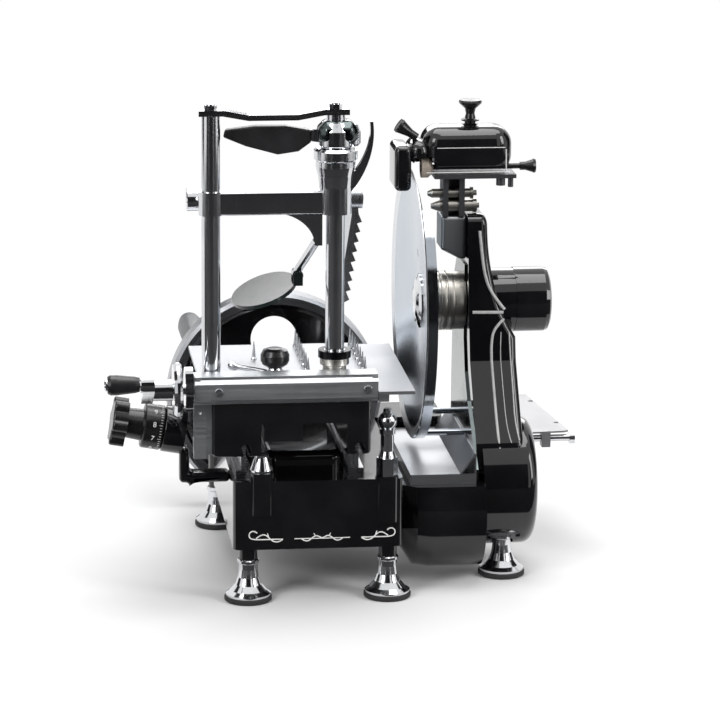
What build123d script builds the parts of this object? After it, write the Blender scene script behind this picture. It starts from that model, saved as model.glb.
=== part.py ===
"""Hand crank meat slicer: a flywheel turns a dished knife, a carriage carries the meat past it.

Millimetres. +Z is up, the knife's axis runs along X, and the carriage and the flywheel's axis run
along Y. The origin is on the counter, under the middle of the whole machine.
"""

from build123d import *
from math import atan2, cos, hypot, pi, radians, sin
import os

os.makedirs("parts", exist_ok=True)

# ---- driving dimensions -------------------------------------------------------------------------

RUN = 0.05  # radial clearance of a shaft in its bore
GAP = 0.5  # air between pieces that move past each other

# knife
KNIFE_X, KNIFE_Y, KNIFE_Z = 74.0, -58.0, 288.0  # cutting edge plane and centre
KNIFE_R = 150.0
SPINDLE_R = 8.0

# base and feet
BASE_X0, BASE_X1 = -135.0, 47.0
BASE_Y0, BASE_Y1 = -236.0, 40.0
BASE_Z0, BASE_Z1 = 59.0, 134.0
WALL = 8.0
FOOT_H = 46.0
FOOT_R = 25.5
LEG_R = 9.8
FEET = {"front_left": (-118, -222), "front_right": (32, -222), "side": (167, -152),
        "rear_left": (-128, 72), "rear_right": (112, 72)}
REAR_Z0, REAR_Z1 = 100.0, 134.0  # raised cross member behind the main box
REAR_Y1 = 98.0
COVER_X0, COVER_X1 = -100.0, -12.0  # lid over the gears
COVER_Y0, COVER_Y1 = -205.0, 33.0
COVER_TOP = 157.0

# drive train
SHAFT_X = -55.0  # flywheel shaft and lay shaft
FLY_Z = 130.0
FLY_R = 125.0
FLY_Y0, FLY_Y1 = 142.0, 174.0  # faces of the flywheel's rim
GRIP_X, GRIP_Z = SHAFT_X - 90, FLY_Z + 62  # crank pin
LAY_Z = 98.0
CROSS_Y = -118.0
SPUR_MODULE = 4.0 / 3.0
FLY_TEETH, LAY_TEETH = 32, 16
BEVEL_MODULE = 1.5
BEVEL_TEETH, PINION_TEETH = 24, 16
CHAIN_PITCH = 9.525
LOWER_TEETH, UPPER_TEETH = 18, 12
CHAIN_X = 153.0  # middle plane of the chain

# gear housings on the right
CASE_Y, CASE_Z, CASE_R = -138.0, 80.0, 70.0
CASE_X0, CASE_SEAM_X, CASE_X1 = 47.0, 84.0, 142.0
CASE_TOP_Z = 113.0
DRUM_Y, DRUM_Z, DRUM_R = CROSS_Y, LAY_Z, 70.0
DRUM_X1 = 202.0
COLUMN_X0 = 135.0

# carriage
CARRIAGE_X0, CARRIAGE_X1 = -158.0, 11.0
CARRIAGE_Y0, CARRIAGE_Y1 = -246.0, -46.0
CARRIAGE_Z0, CARRIAGE_Z1 = 164.0, 232.5
TABLE_Z = 236.0  # upper face of the fixed table
FEED_Z0, FEED_Z1 = TABLE_Z + 0.3, 240.0  # the plate that carries the meat towards the knife
RAIL_X0, RAIL_X1 = -177.0, 16.0
RAIL_Y, RAIL_Z = -246.0, 239.0  # axis of the feed screw, inside the front rail
GUIDE_X = (-122.0, -1.0)  # the two rails that the carriage runs on
GUIDE_Z, GUIDE_R = 172.0, 5.5

# meat clamp
POST_R = 10.0
POSTS = {"left": (-157.0, -219.0), "right": (-26.0, -219.0)}
POST_TOP = 525.0
ARM_Z0, ARM_Z1 = 420.0, 445.0


def rounded_bar(x0, x1, y0, y1, z0, z1, radius):
    """A block whose four upright corners are rounded, added to the part being built."""
    with BuildSketch(Plane.XY.offset(z0)) as footprint:
        with Locations(((x0 + x1) / 2, (y0 + y1) / 2)):
            RectangleRounded(x1 - x0, y1 - y0, radius)
    extrude(footprint.sketch, amount=z1 - z0)


def plain_bar(x0, x1, y0, y1, z0, z1, mode=Mode.ADD):
    """A square block between two corners, added to or cut from the part being built."""
    with Locations(((x0 + x1) / 2, (y0 + y1) / 2, (z0 + z1) / 2)):
        Box(x1 - x0, y1 - y0, z1 - z0, mode=mode)


def rod(start, end, radius, mode=Mode.ADD):
    """A round bar from one point to another."""
    line = Vector(*end) - Vector(*start)
    with BuildSketch(Plane(origin=start, z_dir=line)) as section:
        Circle(radius)
    extrude(section.sketch, amount=line.length, mode=mode)


def facing_x(x, y, z):
    """A plane whose normal is +X, for turned pieces on a cross axis."""
    return Plane(origin=(x, y, z), x_dir=(0, 1, 0), z_dir=(1, 0, 0))


def facing_y(x, y, z):
    """A plane whose normal is +Y, for turned pieces on a lengthwise axis."""
    return Plane(origin=(x, y, z), x_dir=(1, 0, 0), z_dir=(0, 1, 0))


def turned(plane, outline, mode=Mode.ADD):
    """A turned piece: outline is (radius, height) pairs along the plane's normal."""
    with BuildSketch(Plane(origin=plane.origin, x_dir=plane.x_dir, z_dir=-plane.y_dir)) as half:
        with BuildLine():
            Polyline(*outline, close=True)
        make_face()
    revolve(half.sketch, axis=Axis(plane.origin, plane.z_dir), mode=mode)


def gear_outline(teeth, module, turn=0.0):
    """A gear's outline with straight flanks and generous backlash, turned by a share of a tooth."""
    pitch_r = teeth * module / 2
    root_r = pitch_r - 1.35 * module
    tip_r = pitch_r + 0.85 * module
    step = 2 * pi / teeth
    points = []
    for tooth in range(teeth):
        middle = (tooth + turn) * step
        for radius, share in ((root_r, -0.29), (tip_r, -0.10), (tip_r, 0.10), (root_r, 0.29)):
            angle = middle + share * step
            points.append((radius * cos(angle), radius * sin(angle)))
    Polygon(*points, align=None)


# ---- base and feet ------------------------------------------------------------------------------

with BuildPart() as base_casting:
    rounded_bar(BASE_X0, BASE_X1, BASE_Y0, BASE_Y1, BASE_Z0, BASE_Z1, 9)
    rounded_bar(-141, 126, BASE_Y1 - 12, REAR_Y1, REAR_Z0, REAR_Z1, 9)
    # long bearing of the flywheel shaft, reaching back over the cross member
    rod((SHAFT_X, BASE_Y1 - 6, FLY_Z), (SHAFT_X, FLY_Y0 - 10, FLY_Z), 21)
    # the hollow that holds the gears, open at the top
    plain_bar(COVER_X0 + 6, COVER_X1 - 6, COVER_Y0 + 6, COVER_Y1 - 7, BASE_Z0 + WALL, BASE_Z1,
              Mode.SUBTRACT)
    # two bosses on the front wall that carry the turned fittings
    rod((-104, BASE_Y0 + 8, 97), (-104, BASE_Y0 + 8, 143), 13.2)
    rod((30, BASE_Y0 + 8, 86), (30, BASE_Y0 + 8, 136), 12.6)
    # leg studs
    for foot, (x, y) in FEET.items():
        if foot != "side":
            top = REAR_Z0 if foot.startswith("rear") else BASE_Z0
            rod((x, y, FOOT_H), (x, y, top + 1), LEG_R)
    # running bores of the three shafts
    rod((SHAFT_X, BASE_Y1 - 30, FLY_Z), (SHAFT_X, FLY_Y0, FLY_Z), 9 + RUN, Mode.SUBTRACT)
    rod((SHAFT_X, BASE_Y1 - 20, LAY_Z), (SHAFT_X, BASE_Y1 + 8, LAY_Z), 6 + RUN, Mode.SUBTRACT)
    rod((COVER_X1 - 8, CROSS_Y, LAY_Z), (BASE_X1 + 1, CROSS_Y, LAY_Z), 6 + RUN, Mode.SUBTRACT)
    # wall that carries the front end of the lay shaft
    plain_bar(SHAFT_X - 14, SHAFT_X + 14, -78, -70, BASE_Z0 + 4, BASE_Z1 - 10)
    rod((SHAFT_X, -90, LAY_Z), (SHAFT_X, -60, LAY_Z), 6 + RUN, Mode.SUBTRACT)
base_casting.part.label = "base_casting"
export_step(base_casting.part, "parts/base_casting.step")

with BuildPart() as gear_cover:
    rounded_bar(COVER_X0, COVER_X1, COVER_Y0, COVER_Y1, BASE_Z1, COVER_TOP, 16)
    fillet(gear_cover.faces().sort_by(Axis.Z)[-1].edges(), 9)
    with BuildSketch(Plane.XY.offset(BASE_Z1)):
        with Locations(((COVER_X0 + COVER_X1) / 2, (COVER_Y0 + COVER_Y1) / 2)):
            RectangleRounded(COVER_X1 - COVER_X0 - 8, COVER_Y1 - COVER_Y0 - 8, 12)
    extrude(amount=9, mode=Mode.SUBTRACT)
    # room for the upper half of the flywheel gear
    rod((SHAFT_X, COVER_Y1 - 26, FLY_Z), (SHAFT_X, COVER_Y1 - 4, FLY_Z), 24, Mode.SUBTRACT)
    rod((SHAFT_X, COVER_Y1 - 6, FLY_Z), (SHAFT_X, COVER_Y1 + 2, FLY_Z), 21.6, Mode.SUBTRACT)
gear_cover.part.label = "gear_cover"
export_step(gear_cover.part, "parts/gear_cover.step")

with BuildPart() as chrome_feet:
    for x, y in FEET.values():
        turned(Plane((x, y, 0)), [(0, 6), (24, 6), (24.4, 8.5), (19.5, 12), (14.2, 18), (11.3, 26),
                                  (10.1, 35), (10.1, 41), (11.8, 42.5), (11.8, 45), (10.8, FOOT_H),
                                  (0, FOOT_H)])
chrome_feet.part.label = "chrome_feet"
export_step(chrome_feet.part, "parts/chrome_feet.step")

with BuildPart() as rubber_pads:
    for x, y in FEET.values():
        turned(Plane((x, y, 0)), [(0, 0), (FOOT_R - 1.5, 0), (FOOT_R, 1.5), (FOOT_R, 4.8),
                                  (FOOT_R - 1.2, 6), (0, 6)])
rubber_pads.part.label = "rubber_pads"
export_step(rubber_pads.part, "parts/rubber_pads.step")

# The turned fitting on the left boss: a hexagon, a neck and a round head.
with BuildPart() as left_fitting:
    turned(Plane((-104, BASE_Y0 + 8, 0)), [(0, 143), (12, 143), (12.4, 146), (9.5, 155), (7.6, 160),
                                           (7.6, 162.4), (0, 162.4)])
left_fitting.part.label = "left_fitting"
export_step(left_fitting.part, "parts/left_fitting.step")

# The taller lubricator on the right boss: hexagon, tapered stem and a ball head.
OILER = (30, BASE_Y0 + 8, 0)
with BuildPart() as oiler:
    with BuildSketch(Plane.XY.offset(136)):
        with Locations(OILER[:2]):
            RegularPolygon(11.6, 6)
    extrude(amount=20)
    turned(Plane(OILER), [(0, 156), (9.6, 156), (7.4, 163), (7.2, 181), (8.6, 182), (8.6, 187),
                          (0, 187)])
    with Locations((OILER[0], OILER[1], 195.4)):
        Sphere(10.4)
    turned(Plane(OILER), [(0, 200), (4.6, 200), (4.6, 208), (3.4, 209.5), (0, 209.5)])
oiler.part.label = "oiler"
export_step(oiler.part, "parts/oiler.step")

# ---- gear case, drum and column -----------------------------------------------------------------

with BuildPart() as gear_case:
    rod((CASE_SEAM_X, CASE_Y, CASE_Z), (CASE_X1, CASE_Y, CASE_Z), CASE_R)
    plain_bar(CASE_SEAM_X - 1, CASE_X1 + 1, CASE_Y - 80, CASE_Y + 80, CASE_TOP_Z, CASE_Z + 80,
              Mode.SUBTRACT)
    rod((CASE_SEAM_X - 1, CROSS_Y, LAY_Z), (CASE_X1 + 1, CROSS_Y, LAY_Z), 6 + RUN, Mode.SUBTRACT)
gear_case.part.label = "gear_case"
export_step(gear_case.part, "parts/gear_case.step")

# The inner half of the case shrinks towards the base: its lower corner curves up and in.
with BuildPart() as gear_case_end:
    with BuildSketch(Plane.YZ.offset(CASE_SEAM_X)):
        with Locations((CASE_Y, CASE_Z)):
            Circle(CASE_R)
    with BuildSketch(Plane.YZ.offset(CASE_SEAM_X - 17)):
        with Locations((CASE_Y, CASE_Z + 1)):
            Circle(CASE_R - 2)
    loft()
    with BuildSketch(Plane.YZ.offset(CASE_SEAM_X - 17)):
        with Locations((CASE_Y, CASE_Z + 1)):
            Circle(CASE_R - 2)
    with BuildSketch(Plane.YZ.offset(CASE_X0)):
        with Locations((CASE_Y, CASE_Z + 12)):
            Circle(CASE_R - 22)
    loft()
    plain_bar(CASE_X0 - 1, CASE_SEAM_X + 1, CASE_Y - 80, CASE_Y + 80, CASE_TOP_Z, CASE_Z + 80,
              Mode.SUBTRACT)
    rod((CASE_X0 - 1, CROSS_Y, LAY_Z), (CASE_SEAM_X + 1, CROSS_Y, LAY_Z), 6 + RUN, Mode.SUBTRACT)
gear_case_end.part.label = "gear_case_end"
export_step(gear_case_end.part, "parts/gear_case_end.step")

# Column and drum are one casting: the column's side outline is crossed with its front outline,
# and the drum and the spindle boss grow out of it.
CHAIN_ROOM_X0, CHAIN_ROOM_X1 = 146.0, 160.0
with BuildPart() as column_casting:
    with BuildSketch(Plane.YZ.offset(COLUMN_X0)) as column_side:
        with BuildLine():
            Polyline((-172, CASE_TOP_Z), (-168, 150), (-114, 232), (-98, 300), (-88, 389), (-34, 389),
                     (-22, 300), (-30, 160), (-46, CASE_TOP_Z), close=True)
        make_face()
        fillet(column_side.vertices().group_by(Axis.Z)[-1], 12)
    extrude(amount=70)
    with BuildSketch(Plane.XZ.offset(220)):
        with BuildLine():
            Line((COLUMN_X0, CASE_TOP_Z), (COLUMN_X0, 389))
            Line((COLUMN_X0, 389), (150, 389))
            Spline((150, 389), (157, 372), (163, 318), (187, 255), tangents=((1, -0.2), (0.6, -1)))
            Line((187, 255), (188, CASE_TOP_Z))
            Line((188, CASE_TOP_Z), (COLUMN_X0, CASE_TOP_Z))
        make_face()
    extrude(amount=-240, mode=Mode.INTERSECT)
    fillet(column_casting.edges().filter_by(lambda e: e.center().X > 150 and 150 < e.center().Z < 380
           and abs(e.center().Y + 60) > 20), 7)
    # drum round the chain's lower wheel
    rod((CASE_X1, DRUM_Y, DRUM_Z), (DRUM_X1, DRUM_Y, DRUM_Z), DRUM_R)
    fillet(column_casting.edges().filter_by(GeomType.CIRCLE).sort_by(Axis.X)[-1], 12)
    # boss coaxial with the knife
    rod((150, KNIFE_Y, KNIFE_Z), (190, KNIFE_Y, KNIFE_Z), 35)
    # the room the chain runs in, and the round opening that its lower wheel goes in by
    with BuildSketch(Plane.YZ.offset(CHAIN_ROOM_X0)):
        with Locations((DRUM_Y, DRUM_Z)):
            Circle(37)
        with Locations((KNIFE_Y, KNIFE_Z)):
            Circle(26)
        make_hull()
    extrude(amount=CHAIN_ROOM_X1 - CHAIN_ROOM_X0, mode=Mode.SUBTRACT)
    rod((CHAIN_ROOM_X0, DRUM_Y, DRUM_Z), (DRUM_X1 - 4, DRUM_Y, DRUM_Z), 44, Mode.SUBTRACT)
    rod((DRUM_X1 - 4, DRUM_Y, DRUM_Z), (DRUM_X1 + 1, DRUM_Y, DRUM_Z), 50, Mode.SUBTRACT)
    # bores of the cross shaft and of the knife's spindle
    rod((COLUMN_X0, DRUM_Y, DRUM_Z), (CHAIN_ROOM_X0 + 1, DRUM_Y, DRUM_Z), 6 + RUN, Mode.SUBTRACT)
    rod((COLUMN_X0 - 1, KNIFE_Y, KNIFE_Z), (191, KNIFE_Y, KNIFE_Z), SPINDLE_R + RUN, Mode.SUBTRACT)
    # the side foot screws up into a round pocket under the drum
    x, y = FEET["side"]
    rod((x, y, 20), (x, y, FOOT_H), 12.6, Mode.SUBTRACT)
    # nose that carries the knife's bearing
    turned(facing_x(0, KNIFE_Y, KNIFE_Z),
           [(SPINDLE_R + RUN, 103), (21, 103), (23, 105), (23, COLUMN_X0 + 2),
            (SPINDLE_R + RUN, COLUMN_X0 + 2)])
column_casting.part.label = "column_casting"
export_step(column_casting.part, "parts/column_casting.step")

# Pressed lid over the drum's opening, held by its rim.
with BuildPart() as drum_lid:
    turned(facing_x(DRUM_X1 - 4, DRUM_Y, DRUM_Z),
           [(0, 0), (50, 0), (50, 4.5), (46, 6), (0, 7)])
drum_lid.part.label = "drum_lid"
export_step(drum_lid.part, "parts/drum_lid.step")

# Domed cap over the spindle's outer end.
with BuildPart() as spindle_cap:
    turned(facing_x(190, KNIFE_Y, KNIFE_Z),
           [(0, 0), (36, 0), (36, 33), (34.5, 37), (31, 39), (0, 39)])
    rod((189, KNIFE_Y, KNIFE_Z), (202, KNIFE_Y, KNIFE_Z), 26, Mode.SUBTRACT)
spindle_cap.part.label = "spindle_cap"
export_step(spindle_cap.part, "parts/spindle_cap.step")

# ---- drive train --------------------------------------------------------------------------------

SPUR_Y0, SPUR_Y1 = 12.0, 22.0
with BuildPart() as flywheel_shaft:
    rod((SHAFT_X, 2, FLY_Z), (SHAFT_X, FLY_Y1 + 8, FLY_Z), 9)
    rod((SHAFT_X, FLY_Y1 + 8, FLY_Z), (SHAFT_X, FLY_Y1 + 16, FLY_Z), 6)
    with BuildSketch(facing_y(SHAFT_X, SPUR_Y0, FLY_Z)) as teeth:
        gear_outline(FLY_TEETH, SPUR_MODULE)
    extrude(teeth.sketch, amount=SPUR_Y1 - SPUR_Y0)
flywheel_shaft.part.label = "flywheel_shaft"
export_step(flywheel_shaft.part, "parts/flywheel_shaft.step")

# Lay shaft: a spur pinion at the back, a bevel gear in front.
BEVEL_R = BEVEL_TEETH * BEVEL_MODULE / 2
PINION_R = PINION_TEETH * BEVEL_MODULE / 2
FACE_SHARE = 0.62  # size of a bevel's small end against its large end
BEVEL_CLEAR = 0.35
with BuildPart() as lay_shaft:
    rod((SHAFT_X, CROSS_Y + PINION_R - 6, LAY_Z), (SHAFT_X, BASE_Y1 + 6, LAY_Z), 6)
    with BuildSketch(facing_y(SHAFT_X, SPUR_Y0, LAY_Z)) as teeth:
        gear_outline(LAY_TEETH, SPUR_MODULE, turn=0.5)
    extrude(teeth.sketch, amount=SPUR_Y1 - SPUR_Y0)
    with BuildSketch(facing_y(SHAFT_X, CROSS_Y + PINION_R + BEVEL_CLEAR, LAY_Z)) as large:
        gear_outline(BEVEL_TEETH, BEVEL_MODULE)
    with BuildSketch(facing_y(SHAFT_X, CROSS_Y + PINION_R * FACE_SHARE + BEVEL_CLEAR, LAY_Z)) as small:
        gear_outline(BEVEL_TEETH, BEVEL_MODULE * FACE_SHARE)
    loft(Sketch() + [large.sketch, small.sketch], ruled=True)
    rod((SHAFT_X, CROSS_Y + PINION_R, LAY_Z), (SHAFT_X, CROSS_Y + PINION_R + 10, LAY_Z), 11)
lay_shaft.part.label = "lay_shaft"
export_step(lay_shaft.part, "parts/lay_shaft.step")


def sprocket_radius(teeth):
    """Pitch radius of a chain wheel."""
    return CHAIN_PITCH / (2 * sin(pi / teeth))


def sprocket_outline(teeth):
    """A chain wheel: one slim tooth between each two rollers."""
    pitch_r = sprocket_radius(teeth)
    points = []
    for tooth in range(teeth):
        for radius, share in ((pitch_r - 3, -0.30), (pitch_r + 2.2, -0.08), (pitch_r + 2.2, 0.08),
                              (pitch_r - 3, 0.30)):
            angle = (tooth + share) * 2 * pi / teeth
            points.append((radius * cos(angle), radius * sin(angle)))
    Polygon(*points, align=None)


SPROCKET_W = 4.0
# Cross shaft: a bevel pinion at its left end and the lower chain wheel at its right end.
with BuildPart() as cross_shaft:
    rod((SHAFT_X + BEVEL_R - 5, CROSS_Y, LAY_Z), (164, CROSS_Y, LAY_Z), 6)
    with BuildSketch(facing_x(SHAFT_X + BEVEL_R + BEVEL_CLEAR, CROSS_Y, LAY_Z)) as large:
        gear_outline(PINION_TEETH, BEVEL_MODULE, turn=0.5)
    with BuildSketch(facing_x(SHAFT_X + BEVEL_R * FACE_SHARE + BEVEL_CLEAR, CROSS_Y, LAY_Z)) as small:
        gear_outline(PINION_TEETH, BEVEL_MODULE * FACE_SHARE, turn=0.5)
    loft(Sketch() + [large.sketch, small.sketch], ruled=True)
    rod((SHAFT_X + BEVEL_R, CROSS_Y, LAY_Z), (SHAFT_X + BEVEL_R + 12, CROSS_Y, LAY_Z), 8.5)
    with BuildSketch(facing_x(CHAIN_X - SPROCKET_W / 2, CROSS_Y, LAY_Z)) as teeth:
        sprocket_outline(LOWER_TEETH)
    extrude(teeth.sketch, amount=SPROCKET_W)
cross_shaft.part.label = "cross_shaft"
export_step(cross_shaft.part, "parts/cross_shaft.step")

# Chain: two loops of side plates either side of the wheels, pinned together on the straight runs.
CHAIN_HALF_H = 3.6
lower_r, upper_r = sprocket_radius(LOWER_TEETH), sprocket_radius(UPPER_TEETH)
run_y, run_z = KNIFE_Y - CROSS_Y, KNIFE_Z - LAY_Z
centres = hypot(run_y, run_z)
lean = atan2(run_z, run_y)
with BuildPart() as drive_chain:
    for side in (-1, 1):
        x = CHAIN_X + side * (SPROCKET_W / 2 + GAP) + (0 if side > 0 else -1.2)
        with BuildSketch(Plane.YZ.offset(x)) as loop:
            with Locations((CROSS_Y, LAY_Z)):
                Circle(lower_r + CHAIN_HALF_H)
            with Locations((KNIFE_Y, KNIFE_Z)):
                Circle(upper_r + CHAIN_HALF_H)
            make_hull()
        with BuildSketch(Plane.YZ.offset(x)) as inside:
            with Locations((CROSS_Y, LAY_Z)):
                Circle(lower_r - CHAIN_HALF_H)
            with Locations((KNIFE_Y, KNIFE_Z)):
                Circle(upper_r - CHAIN_HALF_H)
            make_hull()
        extrude(loop.sketch - inside.sketch, amount=1.2)
    # pins along both straight runs, clear of the wheels
    for side in (-1, 1):
        offset = lean + side * (pi / 2 + atan2(upper_r - lower_r, centres))
        start = (CROSS_Y + lower_r * cos(offset), LAY_Z + lower_r * sin(offset))
        end = (KNIFE_Y + upper_r * cos(offset), KNIFE_Z + upper_r * sin(offset))
        pins = int(hypot(end[0] - start[0], end[1] - start[1]) / CHAIN_PITCH)
        for pin in range(2, pins - 1):
            share = pin / pins
            y = start[0] + share * (end[0] - start[0])
            z = start[1] + share * (end[1] - start[1])
            rod((CHAIN_X - 3.7, y, z), (CHAIN_X + 3.7, y, z), 1.6)
drive_chain.part.label = "drive_chain"
export_step(drive_chain.part, "parts/drive_chain.step")

# Flywheel: a rim with a turned face, a dished web with four round openings, and a hub.
WEB_HOLES, WEB_HOLE_R, WEB_HOLE_PCR = 4, 27.0, 68.0
with BuildPart() as flywheel:
    turned(facing_y(SHAFT_X, 0, FLY_Z),
           [(9, 150), (19, 150), (21, 157), (40, 160), (104, 160), (108, 156), (111, 147),
            (FLY_R - 4, FLY_Y0), (FLY_R, FLY_Y0 + 3), (FLY_R, FLY_Y1 - 3), (FLY_R - 4, FLY_Y1),
            (112, FLY_Y1 - 5), (106, 167), (40, 167), (21, 170), (19, FLY_Y1 + 6), (9, FLY_Y1 + 6)])
    with BuildSketch(facing_y(SHAFT_X, 156, FLY_Z)) as holes:
        with PolarLocations(WEB_HOLE_PCR, WEB_HOLES, start_angle=90):
            Circle(WEB_HOLE_R)
    extrude(holes.sketch, amount=16, mode=Mode.SUBTRACT)
    with BuildSketch(facing_y(SHAFT_X, 158, FLY_Z)) as lips:
        with PolarLocations(WEB_HOLE_PCR, WEB_HOLES, start_angle=90):
            Circle(WEB_HOLE_R + 4)
            Circle(WEB_HOLE_R, mode=Mode.SUBTRACT)
    extrude(lips.sketch, amount=11)
    rod((GRIP_X, 145, GRIP_Z), (GRIP_X, FLY_Y1, GRIP_Z), 13)
    rod((GRIP_X, FLY_Y1 - 12, GRIP_Z), (GRIP_X, FLY_Y1 + 1, GRIP_Z), 9, Mode.SUBTRACT)
flywheel.part.label = "flywheel"
export_step(flywheel.part, "parts/flywheel.step")

# Two turned fixings of the flywheel: the pin that its grip turns on, and the nut on its shaft.
with BuildPart() as wheel_fixings:
    rod((GRIP_X, FLY_Y1 - 9, GRIP_Z), (GRIP_X, 292, GRIP_Z), 4)
    turned(facing_y(GRIP_X, 292, GRIP_Z), [(0, 0), (8, 0), (7.5, 3), (0, 5)])
    turned(facing_y(GRIP_X, FLY_Y1 - 12, GRIP_Z), [(0, 0), (9, 0), (9, 15), (0, 15)])
    with BuildSketch(facing_y(SHAFT_X, FLY_Y1 + 8, FLY_Z)) as hexagon:
        RegularPolygon(12, 6)
        Circle(6, mode=Mode.SUBTRACT)
    extrude(hexagon.sketch, amount=8)
wheel_fixings.part.label = "wheel_fixings"
export_step(wheel_fixings.part, "parts/wheel_fixings.step")

with BuildPart() as flywheel_grip:
    turned(facing_y(GRIP_X, FLY_Y1 + 4, GRIP_Z),
           [(4 + RUN, 0), (10, 0), (12, 6), (14.5, 40), (15, 78), (13, 98), (9, 107.5), (4 + RUN, 107.5)])
    fillet(flywheel_grip.edges().sort_by(Axis.Y)[-2:], 1)
flywheel_grip.part.label = "flywheel_grip"
export_step(flywheel_grip.part, "parts/flywheel_grip.step")

# ---- knife, its spindle, guard and the plates beside it ------------------------------------------

KNIFE_AXIS = facing_x(0, KNIFE_Y, KNIFE_Z)
with BuildPart() as knife:
    turned(KNIFE_AXIS, [(KNIFE_R, KNIFE_X), (KNIFE_R, KNIFE_X + 0.5), (139, 78.4), (34, 88.5),
                        (12, 88.5), (12, 85.6), (34, 85.6), (140, 76.2)])
    # two small slots the knife is drawn off by
    with BuildSketch(Plane.YZ.offset(70)) as slots:
        with Locations((KNIFE_Y, KNIFE_Z)):
            with PolarLocations(54, 2, start_angle=90):
                SlotOverall(9, 3)
    extrude(slots.sketch, amount=22, mode=Mode.SUBTRACT)
knife.part.label = "knife"
export_step(knife.part, "parts/knife.step")

with BuildPart() as knife_cap:
    turned(KNIFE_AXIS, [(0, 79.5), (14, 80.2), (24, 82.2), (30, 84.6), (30, 85.5), (8, 85.5),
                        (8, 83.5), (0, 83.5)])
    with BuildSketch(Plane.YZ.offset(78)) as screw_holes:
        with Locations((KNIFE_Y, KNIFE_Z)):
            with PolarLocations(21, 3, start_angle=30):
                Circle(2.5)
    extrude(screw_holes.sketch, amount=9, mode=Mode.SUBTRACT)
knife_cap.part.label = "knife_cap"
export_step(knife_cap.part, "parts/knife_cap.step")

with BuildPart() as knife_screws:
    for turn in range(3):
        angle = radians(30 + 120 * turn)
        y, z = KNIFE_Y + 21 * cos(angle), KNIFE_Z + 21 * sin(angle)
        rod((80.9, y, z), (85.5, y, z), 2.5)
        plain_bar(80.5, 81.7, y - 0.5, y + 0.5, z - 3, z + 3, Mode.SUBTRACT)
knife_screws.part.label = "knife_screws"
export_step(knife_screws.part, "parts/knife_screws.step")

with BuildPart() as knife_spindle:
    turned(KNIFE_AXIS, [(0, 83.6), (7.9, 83.6), (7.9, 85.6), (11.9, 85.6), (11.9, 88.6), (30, 88.6),
                        (30, 93), (20, 95), (20, 101.5), (SPINDLE_R, 101.5), (SPINDLE_R, 196),
                        (0, 196)])
    with BuildSketch(facing_x(CHAIN_X - SPROCKET_W / 2, KNIFE_Y, KNIFE_Z)) as teeth:
        sprocket_outline(UPPER_TEETH)
    extrude(teeth.sketch, amount=SPROCKET_W)
    with BuildSketch(facing_x(196, KNIFE_Y, KNIFE_Z)) as hexagon:
        RegularPolygon(10, 6)
    extrude(hexagon.sketch, amount=5)
knife_spindle.part.label = "knife_spindle"
export_step(knife_spindle.part, "parts/knife_spindle.step")

# Guard: a ring behind the knife's edge, open at the top where the sharpener reaches the edge.
GUARD_X0, GUARD_X1 = 75.5, 86.0
GUARD_OPEN = 38  # half of the open angle
SIDE_X0, SIDE_X1 = 133.0, COLUMN_X0  # faces of the wall beside the column
TRAY_Z = 124.0
with BuildPart() as knife_guard:
    with BuildSketch(Plane.XY.offset(KNIFE_Z)) as section:
        with BuildLine():
            Polyline((GUARD_X0, KNIFE_Y + 152), (GUARD_X1, KNIFE_Y + 152), (GUARD_X1, KNIFE_Y + 141),
                     (GUARD_X1 - 2, KNIFE_Y + 141), (GUARD_X1 - 2, KNIFE_Y + 150.6),
                     (GUARD_X0 + 1, KNIFE_Y + 151), close=True)
        make_face()
    start = section.sketch.rotate(Axis((0, KNIFE_Y, KNIFE_Z), (1, 0, 0)), 90 + GUARD_OPEN)
    revolve(start, axis=Axis((0, KNIFE_Y, KNIFE_Z), (1, 0, 0)), revolution_arc=360 - 2 * GUARD_OPEN)
    # two stays that hold it on the wall behind
    for y in (-106, -10):
        rod((GUARD_X1 - 1, y, 150), (SIDE_X0, y, 150), 3.5)
knife_guard.part.label = "knife_guard"
export_step(knife_guard.part, "parts/knife_guard.step")

# Stainless wall beside the column, with a leg that runs forward over the gear case.
with BuildPart() as side_plate:
    with BuildSketch(Plane.YZ.offset(SIDE_X0)):
        with BuildLine():
            Polyline((-187, 115), (-187, 128), (-112, 186), (-90, 214), (-78, 250), (-78, 332),
                     (-20, 332), (6, 300), (14, 180), (14, 115), close=True)
        make_face()
        with Locations((KNIFE_Y, KNIFE_Z)):
            Circle(23, mode=Mode.SUBTRACT)
    extrude(amount=SIDE_X1 - SIDE_X0)
side_plate.part.label = "side_plate"
export_step(side_plate.part, "parts/side_plate.step")

# Receiving tray: flat floor, a front lip, and a side that slopes up to the wall.
with BuildPart() as slice_tray:
    with BuildSketch(Plane.XZ.offset(187)):
        with BuildLine():
            Polyline((61, CASE_TOP_Z), (61, TRAY_Z), (115, TRAY_Z), (131, 146), (132.7, 146),
                     (132.7, CASE_TOP_Z), (131, CASE_TOP_Z), (131, 143.2), (115.8, TRAY_Z - 1.6),
                     (62.6, TRAY_Z - 1.6), (62.6, CASE_TOP_Z), close=True)
        make_face()
    extrude(amount=-205)
    plain_bar(61, 132.7, -187, -185.4, CASE_TOP_Z, TRAY_Z)
slice_tray.part.label = "slice_tray"
export_step(slice_tray.part, "parts/slice_tray.step")

# ---- sharpener over the knife ---------------------------------------------------------------------

SHARP_Y0, SHARP_Y1 = KNIFE_Y - 28.0, KNIFE_Y + 28.0
SHARP_Z0, SHARP_Z1 = 433.0, 482.0
GUIDE_PIN_X, GUIDE_PIN_R = 121.0, 3.5  # the head slides up on two pins
GUIDE_PINS_Y = (-56.0, -46.0)
PLUNGER_Y = -71.0
STONE_Y, STONE_Z = -70.0, 440.0

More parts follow.
